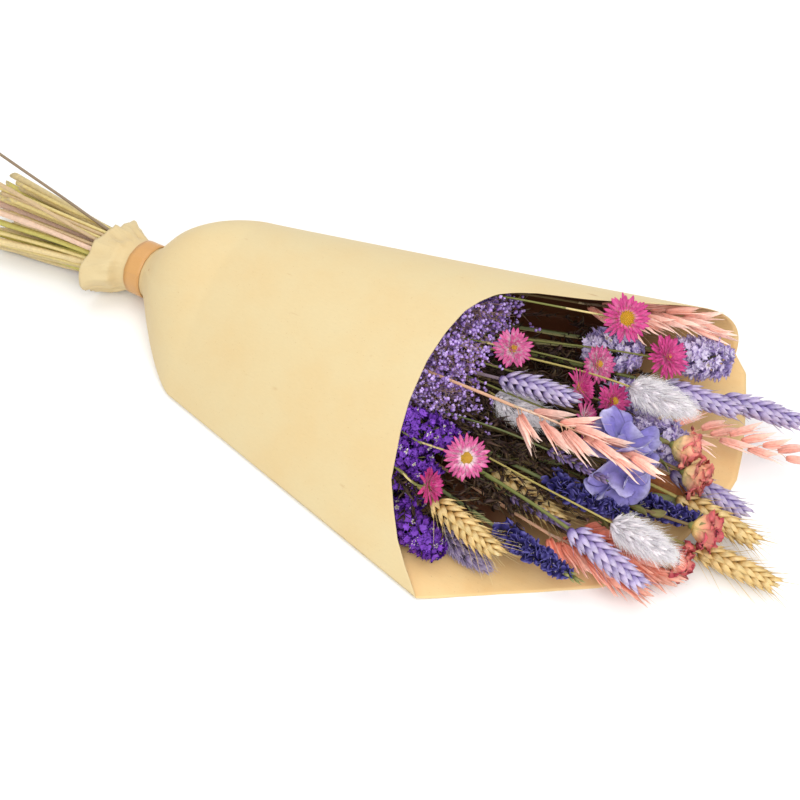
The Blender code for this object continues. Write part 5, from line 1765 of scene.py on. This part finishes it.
# ---------------------------------------------------------------- studio
@dataclass
class Studio:
    """A white surface, large soft lamps and the camera."""

    target: Vector = field(default_factory=lambda: Vector((0.04618, -0.01145, 0.0)))
    azimuth: float = 30.0
    elevation: float = 50.0
    distance: float = 0.74
    lens: float = 50.0

    def floor(self) -> None:
        """A wide plain surface at z = 0."""
        mesh = bpy.data.meshes.new("floor")
        far = 6.0
        mesh.from_pydata([(-far, -far, 0), (far, -far, 0), (far, far, 0), (-far, far, 0)], [], [(0, 1, 2, 3)])
        mesh.materials.append(Wardrobe.material(FloorFinish()))
        floor = bpy.data.objects.new("floor", mesh)
        bpy.context.scene.collection.objects.link(floor)

    def lamp(self, name: str, place: tuple[float, float, float], size: float, power: float,
             colour: Colour) -> None:
        """A square lamp that points at the bouquet."""
        data = bpy.data.lights.new(name, "AREA")
        data.size, data.energy, data.color = size, power, colour[:3]
        lamp = bpy.data.objects.new(name, data)
        bpy.context.scene.collection.objects.link(lamp)
        lamp.location = Vector(place)
        lamp.rotation_euler = (self.target - lamp.location).to_track_quat("-Z", "Y").to_euler()

    def camera(self) -> None:
        """Looks down at the bouquet from its near right."""
        data = bpy.data.cameras.new("camera")
        data.lens, data.sensor_width = self.lens, 36.0
        camera = bpy.data.objects.new("camera", data)
        bpy.context.scene.collection.objects.link(camera)
        turn, tilt = math.radians(self.azimuth), math.radians(self.elevation)
        back = Vector((math.sin(turn) * math.cos(tilt), -math.cos(turn) * math.cos(tilt), math.sin(tilt)))
        camera.location = self.target + back * self.distance
        camera.rotation_euler = back.to_track_quat("Z", "Y").to_euler()
        bpy.context.scene.camera = camera

    def build(self) -> None:
        """Sets the surface, the lamps, the white surroundings and the camera."""
        self.floor()
        white = paint(255, 253, 250)
        self.lamp("key", (-0.20, 0.30, 1.30), 1.0, 4.6, white)
        self.lamp("fill", (0.62, -0.60, 0.95), 0.9, 8.5, white)
        world = bpy.data.worlds.new("surroundings")
        world.use_nodes = True
        background = world.node_tree.nodes["Background"]
        background.inputs["Color"].default_value = (1.0, 1.0, 1.0, 1.0)
        background.inputs["Strength"].default_value = 0.90
        bpy.context.scene.world = world
        bpy.context.scene.view_settings.view_transform = "Standard"
        self.camera()


def main() -> None:
    """Builds the bouquet in order, then the studio."""
    logging.basicConfig(level=logging.INFO, format="%(message)s")
    Sleeve().build()
    NeckBand().build()
    TwineTie().build()
    for plant in garden():
        plant.build()
    Studio().build()


if __name__ == "__main__":
    main()
